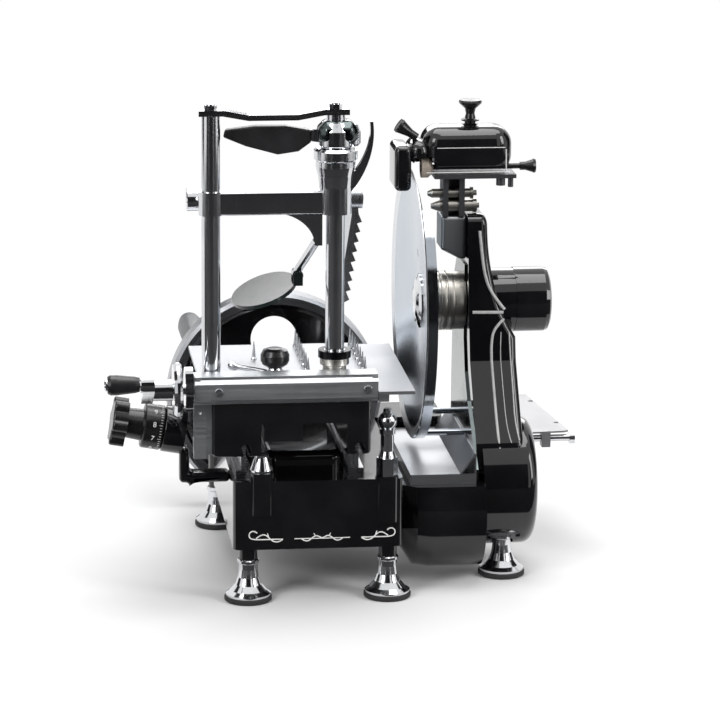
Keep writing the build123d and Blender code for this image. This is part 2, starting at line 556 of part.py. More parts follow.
with BuildPart() as sharpener_bracket:
    with BuildSketch(Plane.XZ.offset(78)):
        with BuildLine():
            FilletPolyline((COLUMN_X0, 338), (COLUMN_X0, 386), (107, 386), (107, 349), (128, 338),
                           close=True, radius=2.5)
        make_face()
    extrude(amount=-42)
    fillet(sharpener_bracket.edges().filter_by(Axis.Z).group_by(Axis.X)[0], 4)
    for y in GUIDE_PINS_Y:
        rod((GUIDE_PIN_X, y, 352), (GUIDE_PIN_X, y, 387), GUIDE_PIN_R + RUN, Mode.SUBTRACT)
sharpener_bracket.part.label = "sharpener_bracket"
export_step(sharpener_bracket.part, "parts/sharpener_bracket.step")

# Frame plate under the cover, with the block that slides on the bracket and two lugs in front.
with BuildPart() as sharpener_frame:
    plain_bar(98, 188, SHARP_Y0 + 1, SHARP_Y1 - 1, SHARP_Z0 - 4, SHARP_Z0)
    plain_bar(110, 132, -62, -40, 386.5, SHARP_Z0 - 4)
    plain_bar(108, 114, -80, -60, 386.5, SHARP_Z0 - 4)
    plain_bar(126, 132, -80, -60, 386.5, SHARP_Z0 - 4)
    for y in GUIDE_PINS_Y:
        rod((GUIDE_PIN_X, y, 354), (GUIDE_PIN_X, y, 390), GUIDE_PIN_R)
    rod((107, PLUNGER_Y, 411), (133, PLUNGER_Y, 411), 5, Mode.SUBTRACT)
    rod((107, PLUNGER_Y, 397), (133, PLUNGER_Y, 397), 6.5, Mode.SUBTRACT)
    # two pegs below its right end
    rod((172, KNIFE_Y - 18, 420), (172, KNIFE_Y - 18, SHARP_Z0 - 3), 5)
    rod((183, KNIFE_Y - 18, 418), (183, KNIFE_Y - 18, SHARP_Z0 - 3), 3)
sharpener_frame.part.label = "sharpener_frame"
export_step(sharpener_frame.part, "parts/sharpener_frame.step")

# Two spring plungers with tapered noses and nuts behind.
with BuildPart() as stone_plungers:
    turned(facing_x(0, PLUNGER_Y, 411), [(0, 92), (2.5, 92), (5, 97), (5, 139), (6.5, 139), (6.5, 142),
                                         (3, 142), (3, 146), (0, 146)])
    turned(facing_x(0, PLUNGER_Y, 397), [(0, 96), (3, 96), (6.5, 105), (6.5, 142), (7.5, 142), (7.5, 146),
                                         (3, 146), (3, 149), (0, 149)])
stone_plungers.part.label = "stone_plungers"
export_step(stone_plungers.part, "parts/stone_plungers.step")

# Cover: enamelled shell that bridges over the knife's edge towards the shield.
COVER_OUTLINE = ((188, SHARP_Z0), (188, 466), (178, SHARP_Z1), (96, SHARP_Z1), (82, 467), (72.5, 464),
                 (72.5, 443), (92, 443), (92, SHARP_Z0))
with BuildPart() as sharpener_cover:
    with BuildSketch(Plane.XZ.offset(-SHARP_Y1)) as outline:
        with BuildLine():
            Polyline(*COVER_OUTLINE, close=True)
        make_face()
        fillet(outline.vertices().filter_by_position(Axis.Z, 462, 490), 5)
    extrude(amount=SHARP_Y1 - SHARP_Y0)
    fillet(sharpener_cover.faces().filter_by(Axis.Y).edges().filter_by(
        lambda e: e.center().Z > 444 and e.center().X > 80), 8)
    with BuildSketch(Plane.XZ.offset(-(SHARP_Y1 - 3))):
        with BuildLine():
            Polyline((185, SHARP_Z0 - 1), (185, 463), (176, 477), (98, 477), (86, 461), (84, 461),
                     (84, 446), (95, 446), (95, SHARP_Z0 - 1), close=True)
        make_face()
    extrude(amount=SHARP_Y1 - SHARP_Y0 - 6, mode=Mode.SUBTRACT)
    # open towards the knife where the stone reaches through
    plain_bar(77, 100, STONE_Y - 13, STONE_Y + 13, SHARP_Z0 - 1, 453, Mode.SUBTRACT)
    rod((180, STONE_Y, STONE_Z), (190, STONE_Y, STONE_Z), 3 + RUN, Mode.SUBTRACT)
    rod((140, KNIFE_Y, 470), (140, KNIFE_Y, 490), 3, Mode.SUBTRACT)
    # shield on the product side, over the top of the edge
    with BuildSketch(Plane.XZ.offset(-(KNIFE_Y + 26))) as shield:
        with BuildLine():
            FilletPolyline((73, 418), (73, 463), (55, 463), (54, 422), (60, 415), close=True, radius=3)
        make_face()
    extrude(shield.sketch, amount=52)
    plain_bar(58, 73, KNIFE_Y - 21, KNIFE_Y + 21, 410, 455, Mode.SUBTRACT)

sharpener_cover.part.label = "sharpener_cover"
export_step(sharpener_cover.part, "parts/sharpener_cover.step")


def flared_knob(plane, length, waist, mouth, shank):
    """A push knob: waisted, flaring to a slightly domed end, with a plain shank behind it."""
    turned(plane, [(0, 0), (waist, 0), (waist * 1.02, length * 0.35), (mouth * 0.9, length * 0.82),
                   (mouth, length * 0.9), (mouth * 0.92, length), (0, length + 0.8)])
    turned(plane, [(0, -shank), (3, -shank), (3, 0), (0, 0)])


with BuildPart() as stone_knob:
    flared_knob(facing_x(194, STONE_Y, STONE_Z), 17, 4.6, 8, 96)
stone_knob.part.label = "stone_knob"
export_step(stone_knob.part, "parts/stone_knob.step")

with BuildPart() as grinding_stone:
    turned(facing_x(0, STONE_Y, STONE_Z), [(0, 86), (7, 86), (7, 84.5), (11.5, 84.5), (11.5, 92),
                                           (8, 96), (3, 96), (3, 98), (0, 98)])
grinding_stone.part.label = "grinding_stone"
export_step(grinding_stone.part, "parts/grinding_stone.step")

# Tilted knob on the cover's left shoulder.
TILT = radians(35)
KNOB_PLANE = Plane(origin=(81, KNIFE_Y, 471), x_dir=(0, 1, 0), z_dir=(-cos(TILT), 0, sin(TILT)))
with BuildPart() as tilted_knob:
    flared_knob(KNOB_PLANE, 25, 4.6, 8.4, 0.1)
tilted_knob.part.label = "tilted_knob"
export_step(tilted_knob.part, "parts/tilted_knob.step")

with BuildPart() as top_knob:
    turned(Plane((140, KNIFE_Y, 0)),
           [(0, 476), (3, 476), (3, SHARP_Z1), (12, SHARP_Z1), (11.6, 483.6), (6, 486.5), (6, 488),
            (10, 489.3), (10, 490.6), (6, 492), (4.8, 497), (6, 502.5), (12, 508), (12.8, 510),
            (11.5, 512), (0, 513.5)])
top_knob.part.label = "top_knob"
export_step(top_knob.part, "parts/top_knob.step")

# ---- slice plate on the far right -------------------------------------------------------------------

HINGE_Y, HINGE_Z = -28.0, 120.0
with BuildPart() as plate_rod:
    rod((190, HINGE_Y, HINGE_Z), (263, HINGE_Y, HINGE_Z), 4)
    rod((262, HINGE_Y, HINGE_Z), (268, HINGE_Y, HINGE_Z), 7)
    plain_bar(188, 196, HINGE_Y - 9, HINGE_Y + 9, 112, 128)
plate_rod.part.label = "plate_rod"
export_step(plate_rod.part, "parts/plate_rod.step")

with BuildPart() as slice_plate:
    with BuildSketch(Plane.XY.offset(HINGE_Z + 7)) as outline:
        with BuildLine():
            Polyline((207, HINGE_Y - 8), (256, HINGE_Y - 4), (261, HINGE_Y), (240, HINGE_Y + 170),
                     (212, HINGE_Y + 170), close=True)
        make_face()
        for y, x in ((34, 259), (136, 246)):
            with Locations((x, HINGE_Y + y)):
                SlotOverall(18, 6, mode=Mode.SUBTRACT)
    extrude(amount=2)
    plain_bar(230, 240, HINGE_Y - 7, HINGE_Y + 7, HINGE_Z - 9, HINGE_Z + 8)
    rod((229, HINGE_Y, HINGE_Z), (241, HINGE_Y, HINGE_Z), 4 + RUN, Mode.SUBTRACT)
slice_plate.part.label = "slice_plate"
export_step(slice_plate.part, "parts/slice_plate.step")

# ---- carriage ---------------------------------------------------------------------------------------

# Two rails on the base's deck: an upright web with a round head.
with BuildPart() as guide_rails:
    for guide_x in GUIDE_X:
        plain_bar(guide_x - 2.5, guide_x + 2.5, BASE_Y0 + 26, REAR_Y1 - 6, BASE_Z1, GUIDE_Z)
        plain_bar(guide_x - 8, guide_x + 8, BASE_Y0 + 26, REAR_Y1 - 6, BASE_Z1, BASE_Z1 + 6)
        rod((guide_x, BASE_Y0 + 26, GUIDE_Z), (guide_x, REAR_Y1 - 6, GUIDE_Z), GUIDE_R)
guide_rails.part.label = "guide_rails"
export_step(guide_rails.part, "parts/guide_rails.step")

LEG_INSIDE = (-106.0, -15.0)
with BuildPart() as carriage_body:
    rounded_bar(CARRIAGE_X0, CARRIAGE_X1, CARRIAGE_Y0, CARRIAGE_Y1, CARRIAGE_Z0, CARRIAGE_Z1, 8)
    fillet(carriage_body.edges().group_by(Axis.Z)[0], 3)
    # the tunnel over the gear cover
    plain_bar(*LEG_INSIDE, CARRIAGE_Y0 - 1, CARRIAGE_Y1 + 1, CARRIAGE_Z0 - 1, 199, Mode.SUBTRACT)
    for guide_x in GUIDE_X:
        rod((guide_x, CARRIAGE_Y0 - 1, GUIDE_Z), (guide_x, CARRIAGE_Y1 + 1, GUIDE_Z), GUIDE_R + RUN,
            Mode.SUBTRACT)
        plain_bar(guide_x - 3, guide_x + 3, CARRIAGE_Y0 - 1, CARRIAGE_Y1 + 1, CARRIAGE_Z0 - 1, GUIDE_Z,
                  Mode.SUBTRACT)
    # the front rail is let into the body's upper front edge
    plain_bar(CARRIAGE_X0 - 1, CARRIAGE_X1 + 1, CARRIAGE_Y0 - 1, RAIL_Y + 14, 224, 240, Mode.SUBTRACT)
    # stop under the front of the tunnel
    plain_bar(-103, -62, CARRIAGE_Y0 + 1, CARRIAGE_Y0 + 30, 180, 200)
carriage_body.part.label = "carriage_body"
export_step(carriage_body.part, "parts/carriage_body.step")

# Front rail: a polished bar with a stepped face, bored for the feed screw and slotted behind.
with BuildPart() as front_rail:
    with BuildSketch(Plane.YZ.offset(RAIL_X0)) as section:
        with BuildLine():
            Polyline((-261, 230), (-261, 247), (-257, 251), (-257, 254), (-232, 254), (-232, 224),
                     (-257, 224), (-257, 227), close=True)
        make_face()
        fillet(section.vertices().group_by(Axis.Y)[0], 3)
        with Locations((RAIL_Y, RAIL_Z)):
            Circle(11.2, mode=Mode.SUBTRACT)
        with Locations((RAIL_Y + 11, (FEED_Z0 + FEED_Z1) / 2)):
            Rectangle(14, FEED_Z1 - FEED_Z0 + 1.2, mode=Mode.SUBTRACT)
    extrude(amount=RAIL_X1 - RAIL_X0)
    # end walls that the screw turns in
    for x in (RAIL_X0, RAIL_X1 - 6):
        plain_bar(x, x + 6, -258, -232, 226, 252)
        rod((x - 1, RAIL_Y, RAIL_Z), (x + 7, RAIL_Y, RAIL_Z), 6 + RUN, Mode.SUBTRACT)
front_rail.part.label = "front_rail"
export_step(front_rail.part, "parts/front_rail.step")

with BuildPart() as table_plate:
    with BuildSketch(Plane.XY.offset(CARRIAGE_Z1)):
        with BuildLine():
            Polyline((-150, -231.5), (16.5, -231.5), (16.5, -262), (55, -262), (55, -40), (-150, -40),
                     close=True)
        make_face()
    extrude(amount=TABLE_Z - CARRIAGE_Z1)
    plain_bar(17, 28, -258, -244, 224, CARRIAGE_Z1)
table_plate.part.label = "table_plate"
export_step(table_plate.part, "parts/table_plate.step")

# Feed plate: slides on the table, its tongue reaches into the rail and holds the nut.
NUT_X0, NUT_X1 = -120.0, -96.0
with BuildPart() as feed_plate:
    plain_bar(-169, 13, -229.5, -50, FEED_Z0, FEED_Z1)
    plain_bar(NUT_X0, NUT_X1, RAIL_Y, -229, FEED_Z0 + 0.4, FEED_Z1 - 0.4)
    rod((NUT_X0, RAIL_Y, RAIL_Z), (NUT_X1, RAIL_Y, RAIL_Z), 10.7)
    rod((NUT_X0 - 1, RAIL_Y, RAIL_Z), (NUT_X1 + 1, RAIL_Y, RAIL_Z), 6 + RUN, Mode.SUBTRACT)
feed_plate.part.label = "feed_plate"
export_step(feed_plate.part, "parts/feed_plate.step")

# Feed screw with the round disc keyed to its left end.
with BuildPart() as feed_screw:
    rod((-216, RAIL_Y, RAIL_Z), (RAIL_X1 - 0.5, RAIL_Y, RAIL_Z), 6)
    turned(facing_x(0, RAIL_Y, RAIL_Z), [(0, -199), (27, -199), (29.5, -196), (29.5, -193), (27, -190.5),
                                         (0, -190.5)])
feed_screw.part.label = "feed_screw"
export_step(feed_screw.part, "parts/feed_screw.step")

RATCHET_TEETH = 24
with BuildPart() as ratchet_wheel:
    with BuildSketch(facing_x(-187, RAIL_Y, RAIL_Z)) as teeth:
        ring = []
        for tooth in range(RATCHET_TEETH):
            angle = tooth * 2 * pi / RATCHET_TEETH
            ring.append((20.5 * cos(angle), 20.5 * sin(angle)))
            ring.append((23.5 * cos(angle + 0.04), 23.5 * sin(angle + 0.04)))
        Polygon(*ring, align=None)
        Circle(6, mode=Mode.SUBTRACT)
    extrude(teeth.sketch, amount=8.5)
ratchet_wheel.part.label = "ratchet_wheel"
export_step(ratchet_wheel.part, "parts/ratchet_wheel.step")

HANDLE_Y, HANDLE_Z = -286.0, 255.0
with BuildPart() as feed_crank:
    with BuildSketch(facing_x(-233, 0, 0)) as arm:
        with Locations((RAIL_Y, RAIL_Z)):
            Circle(14)
        with Locations((HANDLE_Y, HANDLE_Z)):
            Circle(9)
        make_hull()
    extrude(arm.sketch, amount=12)
    rod((-221, RAIL_Y, RAIL_Z), (-199.5, RAIL_Y, RAIL_Z), 11.5)
    rod((-217, RAIL_Y, RAIL_Z), (-199, RAIL_Y, RAIL_Z), 6, Mode.SUBTRACT)
    rod((-271, HANDLE_Y, HANDLE_Z), (-233, HANDLE_Y, HANDLE_Z), 3.5)
    turned(facing_x(0, HANDLE_Y, HANDLE_Z), [(0, -273), (5, -273), (6.5, -271.5), (6.5, -270), (0, -270)])
    turned(facing_x(0, HANDLE_Y, HANDLE_Z), [(0, -236), (8, -236), (8.6, -235), (8.6, -232), (0, -232)])
feed_crank.part.label = "feed_crank"
export_step(feed_crank.part, "parts/feed_crank.step")

with BuildPart() as crank_grip:
    turned(facing_x(0, HANDLE_Y, HANDLE_Z),
           [(3.5 + RUN, -269.6), (9, -269.6), (10.6, -266.5), (10.6, -260), (8.6, -241), (7.5, -236.4),
            (3.5 + RUN, -236.4)])
crank_grip.part.label = "crank_grip"
export_step(crank_grip.part, "parts/crank_grip.step")

# Bar that carries the pawl, hanging from the left end of the carriage.
with BuildPart() as pawl_bar:
    plain_bar(-177, CARRIAGE_X0, -240, -234, 166, 223)
    plain_bar(-177, -164, -241.5, -234, 162, 223.5)
    plain_bar(-177, -164, -235, -226, 166, 182)
    rod((-170.5, -243, 212), (-170.5, -230, 212), 1.8, Mode.SUBTRACT)
pawl_bar.part.label = "pawl_bar"
export_step(pawl_bar.part, "parts/pawl_bar.step")

# ---- thickness control ------------------------------------------------------------------------------

DIAL_Y = -178.0
DIAL_TILT = radians(10)
DIAL_BORE = 4.0
dial_axis = Plane(origin=(-180, DIAL_Y, 176), x_dir=(0, 1, 0), z_dir=(-cos(DIAL_TILT), 0, sin(DIAL_TILT)))
with BuildPart() as dial_bracket:
    plain_bar(-187, BASE_X0, DIAL_Y - 20, DIAL_Y + 20, 120, 133)
    plain_bar(-190, -180, DIAL_Y - 20, DIAL_Y + 20, 120, 160)
    turned(dial_axis, [(0, 3), (25, 3), (25, 26), (0, 26)])
    turned(dial_axis, [(0, 12), (DIAL_BORE + RUN, 12), (DIAL_BORE + RUN, 27), (0, 27)], Mode.SUBTRACT)
dial_bracket.part.label = "dial_bracket"
export_step(dial_bracket.part, "parts/dial_bracket.step")

with BuildPart() as dial_drum:
    turned(dial_axis, [(0, 14), (DIAL_BORE, 14), (DIAL_BORE, 26.5), (22.5, 26.5), (24, 28), (24, 47),
                       (22.5, 48.5), (17, 49.5), (16, 66), (0, 66)])
dial_drum.part.label = "dial_drum"
export_step(dial_drum.part, "parts/dial_drum.step")

LOBES = 6
with BuildPart() as dial_knob:
    with BuildSketch(dial_axis.offset(66)) as lobed:
        Circle(22)
        with PolarLocations(20.5, LOBES):
            Circle(6.5)
    extrude(lobed.sketch, amount=16)
    fillet(dial_knob.faces().sort_by(Axis.X)[0].edges(), 2.5)
dial_knob.part.label = "dial_knob"
export_step(dial_knob.part, "parts/dial_knob.step")

# ---- posts and meat clamp ---------------------------------------------------------------------------

RIGHT_X, POST_Y = POSTS["right"]
LEFT_X = POSTS["left"][0]
STUD_R = 5.0
with BuildPart() as posts:
    for x in (LEFT_X, RIGHT_X):
        rod((x, POST_Y, FEED_Z1), (x, POST_Y, POST_TOP), POST_R)
        rod((x, POST_Y, POST_TOP), (x, POST_Y, POST_TOP + 7), STUD_R)
    # foot collars of the right post
    turned(Plane((RIGHT_X, POST_Y, 0)), [(0, FEED_Z1), (12.5, FEED_Z1), (12.5, 256), (15.5, 257.5),
                                         (15.5, 264), (17.5, 265), (17.5, 273), (0, 273)])
posts.part.label = "posts"
export_step(posts.part, "parts/posts.step")

STRAP_T = 6.0
STRAP_DIP = 5.0
STRAP_LINE = ((-170, 0), (-145, 0), (-118, -STRAP_DIP), (-66, -STRAP_DIP), (-38, 0), (-12, 0))
with BuildPart() as top_strap:
    lower = [(x, POST_TOP + z) for x, z in STRAP_LINE]
    upper = [(x, z + STRAP_T) for x, z in reversed(lower)]
    with BuildSketch(Plane.XZ.offset(-(POST_Y + 8))) as side_view:
        Polygon(*lower, *upper, align=None)
    extrude(side_view.sketch, amount=16)
    for x in (LEFT_X, RIGHT_X):
        rod((x, POST_Y, POST_TOP - 1), (x, POST_Y, POST_TOP + 8), STUD_R, Mode.SUBTRACT)
top_strap.part.label = "top_strap"
export_step(top_strap.part, "parts/top_strap.step")

with BuildPart() as cap_nuts:
    for x in (LEFT_X, RIGHT_X):
        with BuildSketch(Plane.XY.offset(POST_TOP + STRAP_T)) as hexagon:
            with Locations((x, POST_Y)):
                RegularPolygon(6.6, 6)
        extrude(hexagon.sketch, amount=5)
        rod((x, POST_Y, POST_TOP + STRAP_T + 4), (x, POST_Y, POST_TOP + STRAP_T + 6.5), 4.6)
        rod((x, POST_Y, POST_TOP + 5), (x, POST_Y, POST_TOP + 7), STUD_R, Mode.SUBTRACT)
cap_nuts.part.label = "cap_nuts"
export_step(cap_nuts.part, "parts/cap_nuts.step")

# Clamp arm: a bar on the left post and a flared sleeve on the right one, with two hinge lugs behind.
PIVOT_Y, PIVOT_Z, PIVOT_R = -190.0, 431.0, 6.0
LUGS_X = (-142.0, -62.0)
PLATE_HINGE = (-62.0, -178.0, 346.0)  # eye of the press plate
PLATE_PIN_R = 2.5
with BuildPart() as clamp_arm:
    plain_bar(LEFT_X - 9, RIGHT_X, POST_Y - 9, POST_Y + 9, ARM_Z0, ARM_Z1)
    fillet(clamp_arm.edges().filter_by(Axis.X), 3)
    rod((LEFT_X, POST_Y, ARM_Z0), (LEFT_X, POST_Y, ARM_Z1), 13)
    turned(Plane((RIGHT_X, POST_Y, 0)),
           [(0, ARM_Z0), (17, ARM_Z0), (17, 448), (18.5, 460), (21, 470), (21, 476), (23, 478), (23, 487),
            (20, 489.5), (0, 489.5)])
    for x in LUGS_X:
        plain_bar(x - 5, x + 5, POST_Y + 5, PIVOT_Y, PIVOT_Z - 8, PIVOT_Z + 8)
        rod((x - 5, PIVOT_Y, PIVOT_Z), (x + 5, PIVOT_Y, PIVOT_Z), 10)
    # curved web below the bar, and the stay that reaches down to the press plate's eye
    with BuildSketch(Plane.XZ.offset(-(POST_Y + 5))) as web:
        with BuildLine():
            Polyline((-86, ARM_Z0 + 1), (-40, ARM_Z0 + 1), (-40, 386), (-48, 386))
            Spline((-48, 386), (-53, 402), (-64, 413), (-86, ARM_Z0 + 1))
        make_face()
    extrude(web.sketch, amount=10)
    rod((-45, POST_Y + 3, 390), (PLATE_HINGE[0], PLATE_HINGE[1] - 2, PLATE_HINGE[2] + 4), 4.5)
    rod((PLATE_HINGE[0], PLATE_HINGE[1] - 8, PLATE_HINGE[2]),
        (PLATE_HINGE[0], PLATE_HINGE[1] + 8, PLATE_HINGE[2]), 6)
    # horn that the thumb lifts the clamp by
    with BuildSketch(Plane.XZ.offset(-(POST_Y + 4))) as horn:
        with BuildLine():
            Spline((-14, 456), (-1, 472), (8, 492), (9.5, 517))
            Line((9.5, 517), (13, 517))
            Spline((13, 517), (12.5, 490), (5, 466), (-14, 438))
            Line((-14, 438), (-14, 456))
        make_face()
    extrude(horn.sketch, amount=8)
    for x in (LEFT_X, RIGHT_X):
        rod((x, POST_Y, ARM_Z0 - 1), (x, POST_Y, 491), POST_R + RUN, Mode.SUBTRACT)
    rod((-160, PIVOT_Y, PIVOT_Z), (-40, PIVOT_Y, PIVOT_Z), PIVOT_R, Mode.SUBTRACT)
    rod((PLATE_HINGE[0], PLATE_HINGE[1] - 10, PLATE_HINGE[2]),
        (PLATE_HINGE[0], PLATE_HINGE[1] + 10, PLATE_HINGE[2]), PLATE_PIN_R + RUN, Mode.SUBTRACT)
clamp_arm.part.label = "clamp_arm"
export_step(clamp_arm.part, "parts/clamp_arm.step")

with BuildPart() as pivot_rod:
    turned(facing_x(0, PIVOT_Y, PIVOT_Z), [(0, -181), (11, -181), (12, -180), (12, -164), (11, -163),
                                           (PIVOT_R, -163), (PIVOT_R, 6.5), (0, 6.5)])
pivot_rod.part.label = "pivot_rod"
export_step(pivot_rod.part, "parts/pivot_rod.step")

# Toothed plate that hangs from the rod and holds the meat back: a slanting bar with a saw edge.
PLATE_Y0, PLATE_Y1 = -196.0, -92.0
SAW_TEETH, SAW_STEP = 9, 10.5
with BuildPart() as toothed_plate:
    with BuildSketch(Plane.XZ.offset(-PLATE_Y1)) as slanted:
        saw = []
        for tooth in range(SAW_TEETH):
            z = 414 - tooth * SAW_STEP
            x = 1.5 - tooth * SAW_STEP * 0.155
            saw += [(x, z), (x + 3.6, z - SAW_STEP * 0.85)]
        Polygon((-6, 430), (0, 430), *saw, (-14, 318), (-20, 320), (-6, 412), align=None)
    extrude(slanted.sketch, amount=PLATE_Y1 - PLATE_Y0)
    rod((-6.5, PIVOT_Y, PIVOT_Z), (5.5, PIVOT_Y, PIVOT_Z), 12)
    # the plate's upper rear corner is cut away along a slope
    with BuildSketch(Plane.YZ.offset(-25)) as slope:
        Polygon((PIVOT_Y + 12, 432), (PLATE_Y1 + 1, 432), (PLATE_Y1 + 1, 375), (PIVOT_Y + 12, 424),
                align=None)
    extrude(slope.sketch, amount=40, mode=Mode.SUBTRACT)
    rod((-8, PIVOT_Y, PIVOT_Z), (7, PIVOT_Y, PIVOT_Z), PIVOT_R + RUN, Mode.SUBTRACT)
toothed_plate.part.label = "toothed_plate"
export_step(toothed_plate.part, "parts/toothed_plate.step")

# Press plate: an oval that lies on the meat, hinged to the stay by a pin.
PLATE_TILT = radians(20)
press_plane = Plane(origin=(-94, -150, 321), x_dir=(cos(PLATE_TILT), 0, sin(PLATE_TILT)),
                    z_dir=(-sin(PLATE_TILT), 0, cos(PLATE_TILT)))
with BuildPart() as press_plate:
    with BuildSketch(press_plane) as oval:
        Ellipse(36, 65)
    extrude(oval.sketch, amount=4)
    for y in (PLATE_HINGE[1] - 13, PLATE_HINGE[1] + 9):
        plain_bar(PLATE_HINGE[0] - 5, PLATE_HINGE[0] + 5, y, y + 4, 336, PLATE_HINGE[2])
        rod((PLATE_HINGE[0], y, PLATE_HINGE[2]), (PLATE_HINGE[0], y + 4, PLATE_HINGE[2]), 5)
    rod((PLATE_HINGE[0], PLATE_HINGE[1] - 14, PLATE_HINGE[2]),
        (PLATE_HINGE[0], PLATE_HINGE[1] + 14, PLATE_HINGE[2]), PLATE_PIN_R)
press_plate.part.label = "press_plate"
export_step(press_plate.part, "parts/press_plate.step")

# Lock lever: an eye on the right post, a flat tongue and a black grip around it.
LEVER_TURN = radians(13)
lever_plane = Plane(origin=(RIGHT_X - 20, POST_Y + 5, 0), x_dir=(-cos(LEVER_TURN), sin(LEVER_TURN), 0),
                    z_dir=(sin(LEVER_TURN), cos(LEVER_TURN), 0))
TONGUE = ((0, 496), (0, 508), (88, 505), (92, 501), (88, 497))
with BuildPart() as clamp_lever:
    turned(Plane((RIGHT_X, POST_Y, 0)), [(0, 490), (16, 490), (18, 492.5), (18, 508), (14, 517),
                                         (0, 518)])
    turned(Plane((RIGHT_X + 14, POST_Y + 6, 0)), [(0, 491), (11, 491), (13, 493.5), (13, 506), (10, 514),
                                                  (0, 515.5)])
    with BuildSketch(lever_plane) as neck:
        Polygon((-16, 494), (-16, 511), (4, 508), (4, 496), align=None)
    extrude(neck.sketch, amount=4, both=True)
    with BuildSketch(lever_plane) as tongue:
        Polygon(*TONGUE, align=None)
    extrude(tongue.sketch, amount=1.5, both=True)
    rod((RIGHT_X, POST_Y, 489), (RIGHT_X, POST_Y, 519), POST_R + RUN, Mode.SUBTRACT)
clamp_lever.part.label = "clamp_lever"
export_step(clamp_lever.part, "parts/clamp_lever.step")

with BuildPart() as lever_grip:
    with BuildSketch(lever_plane.offset(-6)) as fish:
        with BuildLine():
            FilletPolyline((5, 508), (32, 512), (64, 511), (96, 506), (98, 498), (74, 489), (40, 481),
                           (18, 485), (5, 495), close=True, radius=2.5)
        make_face()
    extrude(fish.sketch, amount=12)
    fillet(lever_grip.faces().filter_by(Axis((0, 0, 0), lever_plane.z_dir)).edges(), 2)
    with BuildSketch(lever_plane) as slot:
        Polygon(*TONGUE, align=None)
    extrude(slot.sketch, amount=1.5, both=True, mode=Mode.SUBTRACT)
lever_grip.part.label = "lever_grip"
export_step(lever_grip.part, "parts/lever_grip.step")

# ---- spikes and lock on the feed plate ----------------------------------------------------------------

SPIKE_H = 20.0
SPIKES = [(x, -200 + 23 * place) for x in (-52, 9) for place in range(7)] + [(-103, -120)]
with BuildPart() as feed_spikes:
    for x, y in SPIKES:
        turned(Plane((x, y, FEED_Z1)), [(0, 0), (3, 0), (3, 1.5), (2.2, 3), (0.4, SPIKE_H), (0, SPIKE_H)])
feed_spikes.part.label = "feed_spikes"
export_step(feed_spikes.part, "parts/feed_spikes.step")

LOCK_X, LOCK_Y = -88.0, -205.0
with BuildPart() as table_lever:
    turned(Plane((LOCK_X, LOCK_Y, FEED_Z1)), [(0, 0.4), (9, 0.4), (9, 7), (7, 12), (0, 12)])
    arm_plane = Plane(origin=(LOCK_X - 6, LOCK_Y + 2, 245), x_dir=(0, 0, 1), z_dir=(-0.93, 0.33, 0.12))
    turned(arm_plane, [(0, 0), (3, 0), (2.6, 34), (4.6, 37), (4.6, 43), (3, 45), (0, 45)])
table_lever.part.label = "table_lever"
export_step(table_lever.part, "parts/table_lever.step")

with BuildPart() as table_lock_knob:
    turned(Plane((LOCK_X, LOCK_Y, FEED_Z1)), [(0, 12), (9.5, 12), (13.5, 15), (15.4, 19), (15.4, 25),
                                              (13, 30), (8, 32), (0, 32.4)])
table_lock_knob.part.label = "table_lock_knob"
export_step(table_lock_knob.part, "parts/table_lock_knob.step")
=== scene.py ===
# %% [markdown]
# # A hand crank meat slicer, dressed for the photograph
#
# The real machine is a counter slicer with a flywheel. Black enamelled castings carry bright
# turned and ground parts. The solid model gives every piece its true size and place, so this
# lesson adds what a solid can't hold: finishes, ornament, numbers and small fasteners. Every
# length is in metres, and +Z is up.

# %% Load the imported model
from math import atan2, cos, pi, radians, sin

import bpy
from mathutils import Matrix, Vector


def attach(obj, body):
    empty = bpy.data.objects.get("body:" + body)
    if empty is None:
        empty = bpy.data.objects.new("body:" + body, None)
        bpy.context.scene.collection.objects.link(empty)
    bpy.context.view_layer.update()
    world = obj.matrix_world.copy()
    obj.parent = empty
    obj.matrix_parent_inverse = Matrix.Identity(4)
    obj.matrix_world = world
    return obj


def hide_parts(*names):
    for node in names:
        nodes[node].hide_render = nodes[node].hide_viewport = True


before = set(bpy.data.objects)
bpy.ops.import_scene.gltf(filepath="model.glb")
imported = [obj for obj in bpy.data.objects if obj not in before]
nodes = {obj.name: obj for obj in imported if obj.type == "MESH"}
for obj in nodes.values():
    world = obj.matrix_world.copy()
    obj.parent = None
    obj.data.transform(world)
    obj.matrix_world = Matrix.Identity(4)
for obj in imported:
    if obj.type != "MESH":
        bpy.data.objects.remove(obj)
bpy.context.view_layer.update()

# %% [markdown]
# ## The camera
#
# The photograph looks almost straight at the front, from a little left and a little above. A
# long lens far away keeps upright posts upright, as in the picture. The place of the camera
# comes from three angles and one distance, so each can be tried on its own.

# %% Place the camera
AIM = Vector((0.020, -0.058, 0.290))
DISTANCE = 3.97
TURN, RISE, ROLL = radians(6.8), radians(12.4), radians(0.4)

back = Vector((-sin(TURN) * cos(RISE), -cos(TURN) * cos(RISE), sin(RISE)))
right = Vector((cos(TURN), -sin(TURN), 0))
up = back.cross(right)
right, up = right * cos(ROLL) + up * sin(ROLL), up * cos(ROLL) - right * sin(ROLL)

camera_data = bpy.data.cameras.new("camera")
camera_data.lens = 180
camera_data.sensor_width = 36
camera_data.shift_y = -60 / 720
camera = bpy.data.objects.new("camera", camera_data)
bpy.context.scene.collection.objects.link(camera)
camera.matrix_world = Matrix.Translation(AIM + back * DISTANCE) @ Matrix((
    (right.x, up.x, back.x, 0),
    (right.y, up.y, back.y, 0),
    (right.z, up.z, back.z, 0),
    (0, 0, 0, 1)))
bpy.context.scene.camera = camera
print("camera stands at", [round(v, 3) for v in camera.matrix_world.translation])

